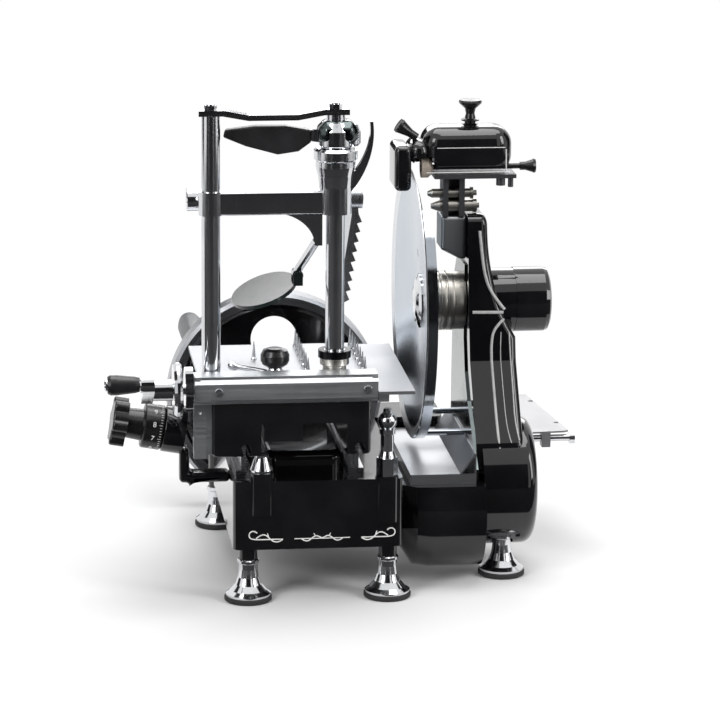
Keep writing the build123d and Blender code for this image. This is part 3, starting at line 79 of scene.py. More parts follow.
# %% [markdown]
# ## Arithmetic on sockets
#
# A finish is a small sum: how far out a point lies, how a noise value spreads, where one
# colour gives way to another. Writing that with Math nodes by hand hides the sum. This class
# wraps a socket, so that an expression such as `1 - mask * 0.4` adds the nodes by itself.

# %% Wrap a socket
class Value:
    """A number that changes over a surface."""

    def __init__(self, finish, socket):
        self.finish, self.socket = finish, socket

    def join(self, operation, *others, clamp=False):
        links = {0: self}
        for place, other in enumerate(others, 1):
            links[place] = other
        settings = {"operation": operation, "use_clamp": clamp}
        return self.finish.value("ShaderNodeMath", settings, links)

    def __add__(self, other):
        return self.join("ADD", other)

    def __mul__(self, other):
        return self.join("MULTIPLY", other)

    def __sub__(self, other):
        return self.join("SUBTRACT", other)

    def __truediv__(self, other):
        return self.join("DIVIDE", other)

    def __rsub__(self, other):
        return (self * -1.0) + other

    __radd__, __rmul__ = __add__, __mul__

    def power(self, other):
        return self.join("POWER", other)

    def step(self, low, high):
        """0 below low, 1 above high, and a smooth rise between them."""
        settings = {"interpolation_type": "SMOOTHSTEP"}
        links = {"Value": self, "From Min": low, "From Max": high}
        return self.finish.value("ShaderNodeMapRange", settings, links)

    def band(self, low, high, edge):
        """1 between low and high, with soft edges."""
        return self.step(low - edge, low + edge) * (1 - self.step(high - edge, high + edge))


# %% [markdown]
# ## A finish and its nodes
#
# Each material starts from one Principled shader. What is the same all over is set on the
# shader's own socket. What changes over the surface comes from Object coordinates, so that a
# pattern stays on its piece when the piece moves.

# %% A finish
class Finish:
    """A material built from expressions."""

    def __init__(self, name, **constants):
        self.material = bpy.data.materials.new(name)
        self.material.use_nodes = True
        self.tree = self.material.node_tree
        self.shader = self.tree.nodes["Principled BSDF"]
        for label, number in constants.items():
            self.shader.inputs[label.replace("_", " ")].default_value = number
        where = self.tree.nodes.new("ShaderNodeTexCoord")
        self.place = where.outputs["Object"]
        parts = self.node("ShaderNodeSeparateXYZ", {}, {0: self.place})
        self.x, self.y, self.z = (Value(self, out) for out in parts.outputs)

    def node(self, kind, settings, links):
        """Adds a node, sets it up, and then fills or links its sockets."""
        made = self.tree.nodes.new(kind)
        for label, setting in settings.items():
            if label == "stops":
                ramp = made.color_ramp
                while len(ramp.elements) < len(setting):
                    ramp.elements.new(0.5)
                for element, (at, colour) in zip(ramp.elements, setting):
                    element.position, element.color = at, (*colour, 1)
            else:
                setattr(made, label, setting)
        for label, link in links.items():
            if isinstance(link, Value):
                link = link.socket
            if isinstance(link, bpy.types.NodeSocket):
                self.tree.links.new(link, made.inputs[label])
            else:
                made.inputs[label].default_value = link
        return made

    def value(self, kind, settings, links, out=0):
        return Value(self, self.node(kind, settings, links).outputs[out])

    def placed(self, centre=(0, 0, 0), turn=(0, 0, 0), scale=(1, 1, 1)):
        """Object coordinates counted from a centre, then turned and stretched."""
        moved = self.node("ShaderNodeVectorMath", {"operation": "SUBTRACT"},
                          {0: self.place, 1: centre})
        return self.node("ShaderNodeMapping", {}, {
            "Vector": moved.outputs[0], "Rotation": turn, "Scale": scale}).outputs[0]

    def noise(self, scale, detail=3.0, where=None, rough=0.55):
        return self.value("ShaderNodeTexNoise", {}, {
            "Vector": where or self.place, "Scale": scale, "Detail": detail, "Roughness": rough})

    def distance(self, centre, axis):
        """How far a point lies from an axis through centre: 'X', 'Y' or 'Z'."""
        steps = [part - number for part, number in zip((self.x, self.y, self.z), centre)]
        del steps["XYZ".index(axis)]
        return (steps[0] * steps[0] + steps[1] * steps[1]).power(0.5)

    def blend(self, mask, first, second):
        """A colour that goes from first to second as the mask goes from 0 to 1."""
        return self.node("ShaderNodeMix", {"data_type": "RGBA"}, {
            0: mask, 6: self.colour(first), 7: self.colour(second)}).outputs[2]

    def colour(self, given):
        return given if isinstance(given, bpy.types.NodeSocket) else (*given, 1)

    def bump(self, height, distance, strength=1.0, under=None):
        links = {"Height": height, "Distance": distance, "Strength": strength}
        if under is not None:
            links["Normal"] = under
        return self.node("ShaderNodeBump", {}, links).outputs[0]

    def set(self, **sockets):
        for label, link in sockets.items():
            socket = link.socket if isinstance(link, Value) else link
            self.tree.links.new(socket, self.shader.inputs[label.replace("_", " ")])
        return self.material


# %% [markdown]
# ## Black enamel
#
# The castings are sprayed with many coats of black and polished, but the sand casting below
# still shows as a slow swell. A clear coat over a black base gives the deep gloss. Two bumps
# carry the swell and the finer peel of the paint, and a cloudy roughness keeps the long
# highlights from looking like glass.

# %% Enamel
def enamel(name, swell=0.0004, gloss=0.07):
    coat = Finish(name, Specular_IOR_Level=0.25, Coat_Roughness=0.03, Coat_IOR=1.5)
    cloud = coat.noise(18, 4)
    dust = coat.noise(90, 6)
    black = coat.blend(cloud.step(0.35, 0.75), (0.0035, 0.0035, 0.0042), (0.0075, 0.0075, 0.0085))
    rough = gloss + cloud * 0.05 + dust.step(0.55, 0.8) * 0.05
    under = coat.bump(coat.noise(11, 2), 0.02, swell * 1000)
    peel = coat.bump(coat.noise(420, 2), 0.0002, 0.10, under)
    return coat.set(Base_Color=black, Roughness=rough, Coat_Weight=0.7 - dust.step(0.6, 0.9) * 0.2,
                    Normal=peel)


enamel_black = enamel("black_enamel", swell=0.00004)
print("enamel made")

# %% [markdown]
# ## Polished chrome
#
# Chrome is a thin bright plate, so it has no colour of its own beyond a faint cool grey. Real
# plate on a working machine carries wiping marks: very fine streaks that turn a hard mirror
# into a slightly smeared one. A stretched noise makes those streaks.

# %% Chrome
def chrome(name, along="Z", tint=(0.74, 0.75, 0.77), low=0.06, spread=0.12):
    plate = Finish(name, Metallic=1.0)
    stretch = {"X": (6, 260, 260), "Y": (260, 6, 260), "Z": (260, 260, 6)}[along]
    streak = plate.noise(1, 4, plate.placed(scale=stretch))
    smear = plate.noise(30, 4)
    tone = plate.blend(smear.step(0.3, 0.75), tint, tuple(c * 0.86 for c in tint))
    rough = low + streak.step(0.3, 0.8) * spread + smear.step(0.5, 0.8) * 0.06
    return plate.set(Base_Color=tone, Roughness=rough,
                     Normal=plate.bump(streak, 0.00002, 0.25))


chrome_upright = chrome("chrome_upright", "Z")
chrome_across = chrome("chrome_across", "X")
chrome_deep = chrome("chrome_lengthwise", "Y")
guard_chrome = chrome("guard_chrome", "Z", (0.40, 0.43, 0.47))
# A nearly black chrome, for the side plate and the cam's hub; on the hub that dark tone is a
# painted reflection of the dark room.
dark_chrome = chrome("dark_chrome", "X", (0.085, 0.10, 0.10), 0.10, 0.10)
rail_satin = chrome("rail_satin", "X", (0.62, 0.64, 0.66), 0.38, 0.14)
print("chrome made in three directions, two darker tones and one satin")

# %% [markdown]
# ## Ground and brushed steel
#
# Sheet parts are brushed one way, and ground parts show the wheel's marks. Both are the same
# idea with other numbers: a metal whose roughness and height follow a noise that is stretched
# along the grain.

# %% Steel
def brushed(name, along, tint, low, spread, depth=0.00004):
    sheet = Finish(name, Metallic=1.0)
    stretch = {"X": (4, 900, 900), "Y": (900, 4, 900), "Z": (900, 900, 4)}[along]
    grain = sheet.noise(1, 5, sheet.placed(scale=stretch), 0.65)
    patch = sheet.noise(14, 4)
    stain = sheet.noise(60, 5).step(0.62, 0.85)
    tone = sheet.blend(grain * 0.6 + patch * 0.3, tuple(c * 0.82 for c in tint), tint)
    tone = sheet.blend(stain * 0.25, tone, tuple(c * 0.55 for c in tint))
    rough = low + grain * spread + patch.step(0.4, 0.7) * 0.08
    return sheet.set(Base_Color=tone, Roughness=rough, Normal=sheet.bump(grain, depth, 0.5))


table_steel = brushed("table_steel", "Y", (0.46, 0.47, 0.49), 0.30, 0.18)
tray_steel = brushed("tray_steel", "Y", (0.48, 0.49, 0.51), 0.26, 0.18)
plate_steel = brushed("plate_steel", "X", (0.36, 0.36, 0.37), 0.32, 0.16)
wall_steel = brushed("wall_steel", "Z", (0.62, 0.63, 0.66), 0.18, 0.18)
bright_steel = brushed("bright_steel", "X", (0.60, 0.61, 0.63), 0.16, 0.16)
dark_steel = brushed("dark_steel", "Y", (0.13, 0.13, 0.14), 0.35, 0.25)
nickel_satin = brushed("satin_nickel", "X", (0.50, 0.48, 0.44), 0.24, 0.14)
cast_silver = brushed("cast_silver", "Z", (0.40, 0.41, 0.42), 0.30, 0.14, 0.00002)
print("eight steels made")

# %% [markdown]
# ## The knife
#
# The dished knife is ground on a turning wheel, so its marks run in rings round its axis. A
# ring pattern needs the distance from the axis and not a stretched box. The last few
# millimetres are the honed edge, which is brighter and a little rougher than the dish.

# %% Knife steel
KNIFE = (0.074, -0.058, 0.288)
HONED_FROM = 0.1375


def knife_finish():
    blade = Finish("knife_steel", Metallic=1.0)
    out = blade.distance(KNIFE, "X")
    ring_place = blade.node("ShaderNodeCombineXYZ", {},
                            {0: out * 1400, 1: blade.x * 20}).outputs[0]
    rings = blade.noise(1, 3, ring_place)
    cloud = blade.noise(9, 3)
    honed = out.step(HONED_FROM, HONED_FROM + 0.002)
    tone = blade.blend(cloud.step(0.3, 0.7), (0.40, 0.46, 0.53), (0.48, 0.53, 0.59))
    tone = blade.blend(honed, tone, (0.76, 0.77, 0.79))
    rough = 0.10 + rings * 0.10 + cloud * 0.04 + honed * 0.12
    return blade.set(Base_Color=tone, Roughness=rough, Normal=blade.bump(rings, 0.00002, 0.35))


knife_steel = knife_finish()
print("knife finish made")

# %% [markdown]
# ## Knobs, grips, rubber and stone
#
# The knobs are hard black plastic with a soft shine, and the flywheel's grip is a duller grey
# one. Rubber soles scatter light and carry dust. The sharpening stone is bonded grit, whose
# grains are close together, so a cell pattern suits it better than a cloud.

# %% Plastics, rubber and stone
def moulded(name, tint, low, grain=600, specular=0.5):
    body = Finish(name, Specular_IOR_Level=specular)
    speck = body.noise(grain, 3)
    rub = body.noise(35, 4)
    tone = body.blend(rub.step(0.4, 0.75), tint, tuple(c * 1.5 + 0.002 for c in tint))
    rough = low + rub * 0.12 + speck.step(0.5, 0.8) * 0.06
    return body.set(Base_Color=tone, Roughness=rough, Normal=body.bump(speck, 0.00006, 0.25))


def grit(name):
    wheel = Finish(name)
    cell = wheel.value("ShaderNodeTexVoronoi", {}, {"Vector": wheel.place, "Scale": 1400})
    tone = wheel.blend(cell.step(0.1, 0.7), (0.46, 0.40, 0.33), (0.24, 0.20, 0.17))
    return wheel.set(Base_Color=tone, Roughness=0.8 + cell * 0.15,
                     Normal=wheel.bump(cell, 0.0003, 0.8))


black_knob = moulded("black_knob", (0.006, 0.006, 0.0065), 0.18)
dark_lacquer = moulded("dark_lacquer", (0.010, 0.014, 0.014), 0.08, specular=0.15)
black_grip = moulded("black_grip", (0.008, 0.008, 0.009), 0.24)
grey_grip = moulded("grey_grip", (0.10, 0.105, 0.11), 0.34)
sole_rubber = moulded("sole_rubber", (0.012, 0.012, 0.012), 0.62, 900)
stone_grit = grit("stone_grit")
print("plastics, rubber and stone made")

# %% [markdown]
# ## The flywheel
#
# One casting carries two finishes: the web is enamelled, and the rim is turned bright. The
# distance from the shaft tells the two apart, so one material does both, with a crisp line
# where the paint was masked.

# %% Flywheel finish
FLYWHEEL = (-0.055, 0.158, 0.130)
PAINTED_TO = 0.1105


def flywheel_finish():
    wheel = Finish("flywheel_paint_and_rim", Specular_IOR_Level=0.5, Coat_Roughness=0.03)
    out = wheel.distance(FLYWHEEL, "Y")
    bare = out.step(PAINTED_TO, PAINTED_TO + 0.0008)
    ring_place = wheel.node("ShaderNodeCombineXYZ", {},
                            {0: out * 1500, 1: wheel.y * 1500}).outputs[0]
    turned = wheel.noise(1, 3, ring_place)
    cloud = wheel.noise(16, 4)
    black = wheel.blend(cloud.step(0.35, 0.7), (0.0035, 0.0035, 0.0042), (0.008, 0.008, 0.009))
    silver = wheel.blend(turned, (0.30, 0.31, 0.33), (0.42, 0.43, 0.45))
    rough = (0.08 + cloud * 0.06) * (1 - bare) + (0.20 + turned * 0.16) * bare
    return wheel.set(Base_Color=wheel.blend(bare, black, silver), Roughness=rough, Metallic=bare,
                     Coat_Weight=(1 - bare) * 0.9,
                     Normal=wheel.bump(turned * bare + cloud * 0.2, 0.00003, 0.5))


flywheel_paint = flywheel_finish()

# %% [markdown]
# ## The posts
#
# The right post stands in two collars. The upper one is blacked and the lower one is nickel,
# so the finish changes with height inside the collar's radius.

# %% Post finish
RIGHT_POST = (-0.026, -0.219, 0.265)


def post_finish():
    bar = Finish("post_chrome", Metallic=1.0)
    out = bar.distance(RIGHT_POST, "Z")
    collar = out.step(0.0112, 0.0116) * (1 - out.step(0.024, 0.026))
    dark = collar * bar.z.band(0.2647, 0.2735, 0.0002)
    streak = bar.noise(1, 4, bar.placed(scale=(300, 300, 5)))
    smear = bar.noise(24, 4)
    tone = bar.blend(smear.step(0.3, 0.75), (0.76, 0.77, 0.79), (0.66, 0.67, 0.69))
    tone = bar.blend(collar, tone, (0.52, 0.50, 0.46))
    tone = bar.blend(dark, tone, (0.03, 0.03, 0.032))
    rough = 0.06 + streak.step(0.3, 0.8) * 0.10 + collar * 0.14 + smear * 0.04
    return bar.set(Base_Color=tone, Roughness=rough, Normal=bar.bump(streak, 0.00002, 0.25))


post_chrome = post_finish()

# %% [markdown]
# ## Give every solid its finish
#
# The table below names each solid once. A missing name stops the script, so no piece can stay
# grey by mistake.

# %% Assign the finishes
FINISHES = {
    enamel_black: ("base_casting", "gear_cover", "gear_case", "gear_case_end", "column_casting",
                   "drum_lid", "spindle_cap", "sharpener_cover",
                   "carriage_body", "dial_bracket"),
    chrome_upright: ("chrome_feet", "left_fitting", "oiler", "cap_nuts", "clamp_arm",
                     "clamp_lever"),
    chrome_across: ("top_strap", "pivot_rod", "plate_rod", "feed_screw",
                    "feed_spikes", "table_lever", "feed_crank", "ratchet_wheel"),
    guard_chrome: ("knife_guard",),
    dark_lacquer: ("press_plate",),
    dark_chrome: ("side_plate",),
    rail_satin: ("front_rail", "pawl_bar"),
    cast_silver: ("sharpener_bracket",),
    chrome_deep: ("wheel_fixings", "knife_cap"),
    table_steel: ("table_plate", "feed_plate"),
    plate_steel: ("slice_plate",),
    tray_steel: ("slice_tray",),
    wall_steel: ("toothed_plate",),
    bright_steel: ("flywheel_shaft", "lay_shaft", "cross_shaft", "knife_spindle", "guide_rails",
                   "knife_screws"),
    dark_steel: ("drive_chain", "sharpener_frame"),
    nickel_satin: ("stone_plungers",),
    knife_steel: ("knife",),
    flywheel_paint: ("flywheel",),
    post_chrome: ("posts",),
    black_knob: ("stone_knob", "top_knob", "tilted_knob", "dial_knob", "table_lock_knob",
                 "dial_drum"),
    black_grip: ("lever_grip", "crank_grip"),
    grey_grip: ("flywheel_grip",),
    sole_rubber: ("rubber_pads",),
    stone_grit: ("grinding_stone",),
}
finish_of = {name: material for material, names in FINISHES.items() for name in names}
for name, solid in nodes.items():
    solid.data.materials.clear()
    solid.data.materials.append(finish_of[name])
print(len(finish_of), "solids dressed with", len(FINISHES), "finishes")

# %% [markdown]
# ## Small helpers for new pieces
#
# A new piece is shaped at its own place with Blender's operators. An operator acts on all
# that is selected, so each piece starts from an empty selection. `keep` finishes a piece: its
# place goes into its mesh, its faces are turned outwards, and it rides on a body.

# %% Helpers
def alone(piece=None):
    """Deselects everything, then selects the given piece."""
    bpy.ops.object.select_all(action="DESELECT")
    if piece is not None:
        piece.select_set(True)
        bpy.context.view_layer.objects.active = piece


def edit(piece):
    """Opens a piece in edit mode with nothing selected."""
    alone(piece)
    bpy.ops.object.mode_set(mode="EDIT")
    bpy.ops.mesh.select_all(action="DESELECT")


def pick_faces(piece, wanted):
    """Selects the faces whose centre and normal pass the test, in edit mode."""
    bpy.ops.object.mode_set(mode="OBJECT")
    for face in piece.data.polygons:
        face.select = bool(wanted(face.center, face.normal))
    bpy.ops.object.mode_set(mode="EDIT")
    bpy.ops.mesh.select_mode(type="FACE")


def settle(piece):
    """Puts a piece's place into its mesh."""
    alone(piece)
    bpy.ops.object.transform_apply(location=True, rotation=True, scale=True)


def keep(piece, name, body, material, angle=35):
    """Names and finishes a piece, and lets it ride on a body."""
    settle(piece)
    edit(piece)
    bpy.ops.mesh.select_all(action="SELECT")
    bpy.ops.mesh.remove_doubles(threshold=0.000005)
    bpy.ops.mesh.normals_make_consistent(inside=False)
    bpy.ops.object.mode_set(mode="OBJECT")
    piece.name = name
    piece.data.name = name
    piece.data.materials.clear()
    piece.data.materials.append(material)
    bpy.ops.object.shade_smooth_by_angle(angle=radians(angle))
    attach(piece, body)
    print(name, len(piece.data.polygons), "faces on", body)
    return piece


def turned_disc(place, radius, depth, turn=(0, 0, 0), bevel=0.0003, sides=32):
    """A round blank with softened rims, ready to be cut further."""
    alone()
    bpy.ops.mesh.primitive_cylinder_add(vertices=sides, radius=radius, depth=depth,
                                        location=place, rotation=turn)
    disc = bpy.context.object
    rim = disc.modifiers.new("rim", "BEVEL")
    rim.width, rim.segments, rim.limit_method = bevel, 3, "ANGLE"
    bpy.ops.object.modifier_apply(modifier="rim")
    return disc


# %% [markdown]
# ## Slotted screws on the front rail
#
# Two cheese head screws hold the rail. The head is a low cylinder with a softened rim, and its
# slot is pressed in: the middle of the face is cut by two parallel planes, and the strip
# between them is pushed down.

# %% Screws
def slotted_screw(name, place, radius, depth, body, slant=0.0, turn=(radians(90), 0, 0)):
    """A round head whose face has one slot."""
    head = turned_disc((0, 0, 0), radius, depth)
    edit(head)
    for side in (-1, 1):
        bpy.ops.mesh.select_all(action="SELECT")
        bpy.ops.mesh.bisect(plane_co=(0, side * radius * 0.14, 0), plane_no=(0, 1, 0))
    pick_faces(head, lambda centre, normal: normal.z > 0.9 and abs(centre.y) < radius * 0.13
               and centre.z > depth * 0.49)
    bpy.ops.mesh.extrude_region_move(TRANSFORM_OT_translate={"value": (0, 0, -depth * 0.45)})
    bpy.ops.object.mode_set(mode="OBJECT")
    head.rotation_euler = (0, 0, slant)
    settle(head)
    head.rotation_euler = turn
    head.location = place
    return keep(head, name, body, bright_steel)


for side, x, slant in (("left", -0.152, 0.5), ("right", 0.005, 0.9)):
    slotted_screw(f"rail_screw_{side}", (x, -0.2618, 0.2385), 0.0044, 0.0024, "carriage", slant)

# %% [markdown]
# ## Blocks with soft edges
#
# Castings are blocks whose edges were rounded in the mould. A cube placed between two corners
# is the start. Its edges are then picked by where their middles lie and rounded in edit mode,
# which keeps the large faces flat and gives the light a curve to run along.

# %% Blocks and soft edges
def block(low, high):
    """A cube stretched between two corners."""
    alone()
    middle = [(a + b) / 2 for a, b in zip(low, high)]
    bpy.ops.mesh.primitive_cube_add(size=1, location=middle)
    cube = bpy.context.object
    cube.scale = [b - a for a, b in zip(low, high)]
    settle(cube)
    return cube


def edit_kept(piece):
    """Opens edit mode and keeps the edges that are already selected."""
    alone(piece)
    bpy.ops.object.mode_set(mode="EDIT")
    bpy.ops.mesh.select_mode(type="EDGE")


def soften(piece, wanted, width, segments=6):
    """Rounds the edges whose middle and direction pass the test."""
    bpy.context.view_layer.objects.active = piece
    points = piece.data.vertices
    for edge in piece.data.edges:
        first, second = (points[index].co for index in edge.vertices)
        edge.select = bool(wanted((first + second) / 2, (second - first).normalized()))
    edit_kept(piece)
    bpy.ops.mesh.bevel(offset=width, segments=segments, profile=0.5, clamp_overlap=True)
    bpy.ops.object.mode_set(mode="OBJECT")
    return piece


def merge(first, second, kind="UNION"):
    """Joins a second shape to the first, or cuts it away, and removes the second."""
    alone(first)
    tool = first.modifiers.new("merge", "BOOLEAN")
    tool.object, tool.operation, tool.solver = second, kind, "EXACT"
    bpy.ops.object.modifier_apply(modifier="merge")
    bpy.data.objects.remove(second, do_unlink=True)
    return first


# %% [markdown]
# ## The sharpener's cover
#
# The cover is a loaf-shaped shell: a flat front, a long round crown, and on the left a hood
# that hangs over the knife's edge. The solid model has it with plain chamfers, so here it is
# made again with true rounds, in the same place and riding on the same lifting head. The hood
# is hollow from below, because the knife runs under it.

# %% Sharpener's cover
COVER_FRONT, COVER_REAR = -0.086, -0.030
cover = block((0.086, COVER_FRONT, 0.4335), (0.1845, COVER_REAR, 0.4845))
soften(cover, lambda at, way: at.z > 0.48 and abs(way.x) > 0.9, 0.019, 8)
soften(cover, lambda at, way: at.x > 0.1835 and (at.z > 0.462 or abs(way.z) > 0.95), 0.008, 5)
soften(cover, lambda at, way: at.x < 0.0861 and at.z > 0.462, 0.010, 5)
neck = block((0.070, COVER_FRONT + 0.002, 0.4435), (0.094, COVER_REAR - 0.002, 0.470))
soften(neck, lambda at, way: at.z > 0.469 and abs(way.x) > 0.9, 0.012, 6)
hood = block((0.0542, COVER_FRONT + 0.001, 0.4155), (0.0728, COVER_REAR - 0.001, 0.4655))
soften(hood, lambda at, way: abs(way.y) > 0.9 and (at.z > 0.465 or at.x < 0.055), 0.006, 5)
soften(hood, lambda at, way: at.z > 0.45 and at.x < 0.070 and abs(way.y) < 0.5, 0.004, 3)
room = block((0.0580, -0.0795, 0.400), (0.0740, -0.0365, 0.4555))
merge(hood, room, "DIFFERENCE")
merge(cover, neck)
merge(cover, hood)
stone_room = block((0.0765, -0.0830, 0.4200), (0.1000, -0.0570, 0.4530))
merge(cover, stone_room, "DIFFERENCE")
inner = block((0.0960, COVER_FRONT + 0.003, 0.4200), (0.1810, COVER_REAR - 0.003, 0.4790))
soften(inner, lambda at, way: at.z > 0.478 and abs(way.x) > 0.9, 0.016, 6)
merge(cover, inner, "DIFFERENCE")
keep(cover, "cover_shell", "sharpener_head", enamel_black, 40)
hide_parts("sharpener_cover")

# %% [markdown]
# ## Painted lines
#
# The ornament is laid on with a fine brush: scrolls in white on the base, and lines that
# follow the edges of the castings. The lines along the column's edges are partly pinstriping and
# partly a painted highlight, where its rounded edges catch the light. A stroke is a smooth curve
# with a round section; the scrolls and the cover's lines are flattened against their face, so
# that they have the slight body of real paint.

# %% Paint and strokes
def line_paint(name, tint):
    paint = Finish(name, Specular_IOR_Level=0.4)
    patch = paint.noise(240, 4)
    tone = paint.blend(patch.step(0.35, 0.75), tint, tuple(c * 0.8 for c in tint))
    return paint.set(Base_Color=tone, Roughness=0.32 + patch * 0.2,
                     Normal=paint.bump(patch, 0.00003, 0.4))


white_line = line_paint("white_line", (0.72, 0.72, 0.70))
# Silver lines on the column: partly pinstriping, partly a painted highlight along its rounded
# edges.
silver_line_and_highlight = line_paint("silver_line_and_highlight", (0.46, 0.46, 0.45))


def stroke(points, width):
    """One brush stroke through the points, as a mesh."""
    alone()
    path = bpy.data.curves.new("stroke", "CURVE")
    path.dimensions, path.bevel_depth, path.bevel_resolution = "3D", width / 2, 2
    path.resolution_u, path.use_fill_caps = 8, True
    spline = path.splines.new("NURBS")
    spline.points.add(len(points) - 1)
    for point, place in zip(spline.points, points):
        point.co = (*place, 1)
    spline.order_u, spline.use_endpoint_u = 3, True
    line = bpy.data.objects.new("stroke", path)
    bpy.context.scene.collection.objects.link(line)
    alone(line)
    bpy.ops.object.convert(target="MESH")
    return bpy.context.object


def gather(pieces):
    """Makes several meshes one object."""
    alone()
    for piece in pieces:
        piece.select_set(True)
    bpy.context.view_layer.objects.active = pieces[0]
    bpy.ops.object.join()
    return bpy.context.object


def flatten(piece, axis, level, share):
    """Presses a piece towards a plane."""
    for point in piece.data.vertices:
        point.co[axis] = level + (point.co[axis] - level) * share


# %% [markdown]
# ## Scrolls on the base
#
# Two corner scrolls and one in the middle are mirror images about the base's middle line, so
# only the left half is laid out, in millimetres, and the right half is its mirror.

# %% Scrolls
BASE_FRONT, BASE_MIDDLE = -0.2360, -40.0
HALF_SCROLLS = (
    ((-109.7, 77.5), (-112.0, 79.8), (-116.5, 79.4), (-118.6, 75.8), (-117.2, 71.6),
     (-111.0, 70.2), (-97.0, 70.4), (-82.0, 70.2)),
    ((-110.6, 71.6), (-106.0, 75.4), (-100.5, 75.6), (-96.0, 71.0), (-92.0, 67.6), (-86.0, 67.2),
     (-82.4, 69.8)),
    ((-97.2, 73.4), (-98.4, 75.6), (-98.6, 77.0)),
    ((-69.8, 70.4), (-55.0, 70.2), (-40.0, 70.2)),
    ((-62.0, 70.0), (-59.0, 67.8), (-54.5, 67.6), (-51.0, 70.8), (-46.6, 73.6), (-43.0, 72.0),
     (-40.0, 70.4)),
    ((-47.2, 72.8), (-48.6, 74.6), (-48.8, 76.0)),
)
lines = []
for points in HALF_SCROLLS:
    for side in (1, -1):
        row = [((BASE_MIDDLE + side * (x - BASE_MIDDLE)) / 1000, BASE_FRONT, z / 1000)
               for x, z in points]
        lines.append(stroke(row, 0.0013 if len(points) > 3 else 0.0010))
scrolls = gather(lines)
flatten(scrolls, 1, BASE_FRONT, 0.3)
keep(scrolls, "front_scrolls", "frame", white_line, 60)

# %% [markdown]
# ## Lines on the column and the cover
#
# The column's front is flat from side to side and leans back as it rises, so a line on it
# needs its depth worked out from its height. The corners of that face, as height and depth,
# are known from the solid model, and the depth between two corners is a straight share.

# %% Edge lines
COLUMN_FACE = ((0.113, -0.172), (0.150, -0.168), (0.232, -0.114), (0.300, -0.098),
               (0.389, -0.088))


def column_front(z):
    """Depth of the column's front face at a height."""
    for (z0, y0), (z1, y1) in zip(COLUMN_FACE, COLUMN_FACE[1:]):
        if z <= z1:
            return y0 + (y1 - y0) * (z - z0) / (z1 - z0)
    return COLUMN_FACE[-1][1]


def on_column(points):
    return [(x, column_front(z) - 0.0002, z) for x, z in points]


# The column's lines are partly pinstriping and partly a painted highlight: they run where the
# casting's rounded edges, which the solid lacks, catch the light.
column_lines_and_highlights = [
    stroke(on_column([(0.1475, 0.372), (0.1495, 0.350), (0.1530, 0.322), (0.1610, 0.302),
                      (0.1745, 0.286)]), 0.0034),
    stroke(on_column([(0.1390, 0.2835), (0.1560, 0.2832), (0.1730, 0.2830)]), 0.0036),
    stroke(on_column([(0.1735, 0.276), (0.1620, 0.266), (0.1590, 0.250), (0.1588, 0.234),
                      (0.1588, 0.230), (0.1590, 0.205), (0.1592, 0.180), (0.1600, 0.156),
                      (0.1620, 0.138), (0.1680, 0.118)]), 0.0032),
    stroke(on_column([(0.1700, 0.262), (0.1690, 0.245), (0.1690, 0.2335), (0.1690, 0.2300),
                      (0.1692, 0.200), (0.1700, 0.165), (0.1740, 0.152)]), 0.0010),
    stroke(on_column([(0.1790, 0.262), (0.1795, 0.245), (0.1800, 0.2335), (0.1800, 0.2300),
                      (0.1800, 0.200), (0.1795, 0.170), (0.1830, 0.154)]), 0.0016),
]
keep(gather(column_lines_and_highlights), "column_lines_and_highlights", "frame", silver_line_and_highlight, 60)

COVER_FACE = COVER_FRONT - 0.0001
cover_lines = [
    stroke([(0.0885, COVER_FACE, 0.4365), (0.1300, COVER_FACE, 0.4365),
            (0.1810, COVER_FACE, 0.4365)], 0.0010),
    stroke([(0.1000, COVER_FACE, 0.4635), (0.1400, COVER_FACE, 0.4637),
            (0.1750, COVER_FACE, 0.4635)], 0.0008),
    stroke([(0.1760, COVER_FACE, 0.4615), (0.1762, COVER_FACE, 0.4500),
            (0.1765, COVER_FACE, 0.4375)], 0.0010),
]
cover_trim = gather(cover_lines)
flatten(cover_trim, 1, COVER_FACE, 0.4)
keep(cover_trim, "cover_lines", "sharpener_head", white_line, 60)

# %% [markdown]
# ## The dial's figures
#
# The dial counts slice thickness. Its plain figures stand round the drum, with a short mark
# between each two. One mark or figure is made flat at the drum's top, and each copy is turned
# about the drum's axis, which leans ten degrees.

# %% Figures on the dial
LEAN = radians(10)
DIAL_START = Vector((-0.180, -0.178, 0.176))
DIAL_ALONG = Vector((-cos(LEAN), 0, sin(LEAN)))
DIAL_RADIUS = 0.0240
DIAL_UP = Vector((sin(LEAN), 0, cos(LEAN)))
DIAL_SIDE = DIAL_ALONG.cross(DIAL_UP)


def on_dial(piece, share, along):
    """Wraps a flat piece, whose X runs along the axis, on the dial's drum."""
    for point in piece.data.vertices:
        angle = share * 2 * pi + point.co.y / DIAL_RADIUS
        out = DIAL_UP * cos(angle) + DIAL_SIDE * sin(angle)
        point.co = (DIAL_START + DIAL_ALONG * (along - point.co.x)
                    + out * (DIAL_RADIUS + 0.0001 + point.co.z))


def copy_of(piece):
    """A copy with its own mesh."""
    twin = piece.copy()
    twin.data = piece.data.copy()
    bpy.context.scene.collection.objects.link(twin)
    return twin


short_tick = block((-0.0022, -0.0002, -0.0001), (0, 0.0002, 0.0001))
long_tick = block((-0.0036, -0.0002, -0.0001), (0, 0.0002, 0.0001))
marks = []
FIGURES, FIGURE_SIZE = 10, 0.0078
for number in range(FIGURES):
    alone()
    bpy.ops.object.text_add(location=(0, 0, 0))
    figure = bpy.context.object
    figure.data.body, figure.data.size, figure.data.extrude = str(number), FIGURE_SIZE, 0.0001
    figure.data.align_x, figure.data.align_y = "CENTER", "CENTER"
    bpy.ops.object.convert(target="MESH")
    figure = bpy.context.object
    on_dial(figure, number / FIGURES, 0.0375)
    marks.append(figure)
    for step in range(5):
        tick = copy_of(short_tick if step else long_tick)
        on_dial(tick, (number + step / 5) / FIGURES, 0.0290)
        marks.append(tick)
for pattern in (short_tick, long_tick):
    bpy.data.objects.remove(pattern, do_unlink=True)
keep(gather(marks), "dial_figures", "dial", white_line, 30)
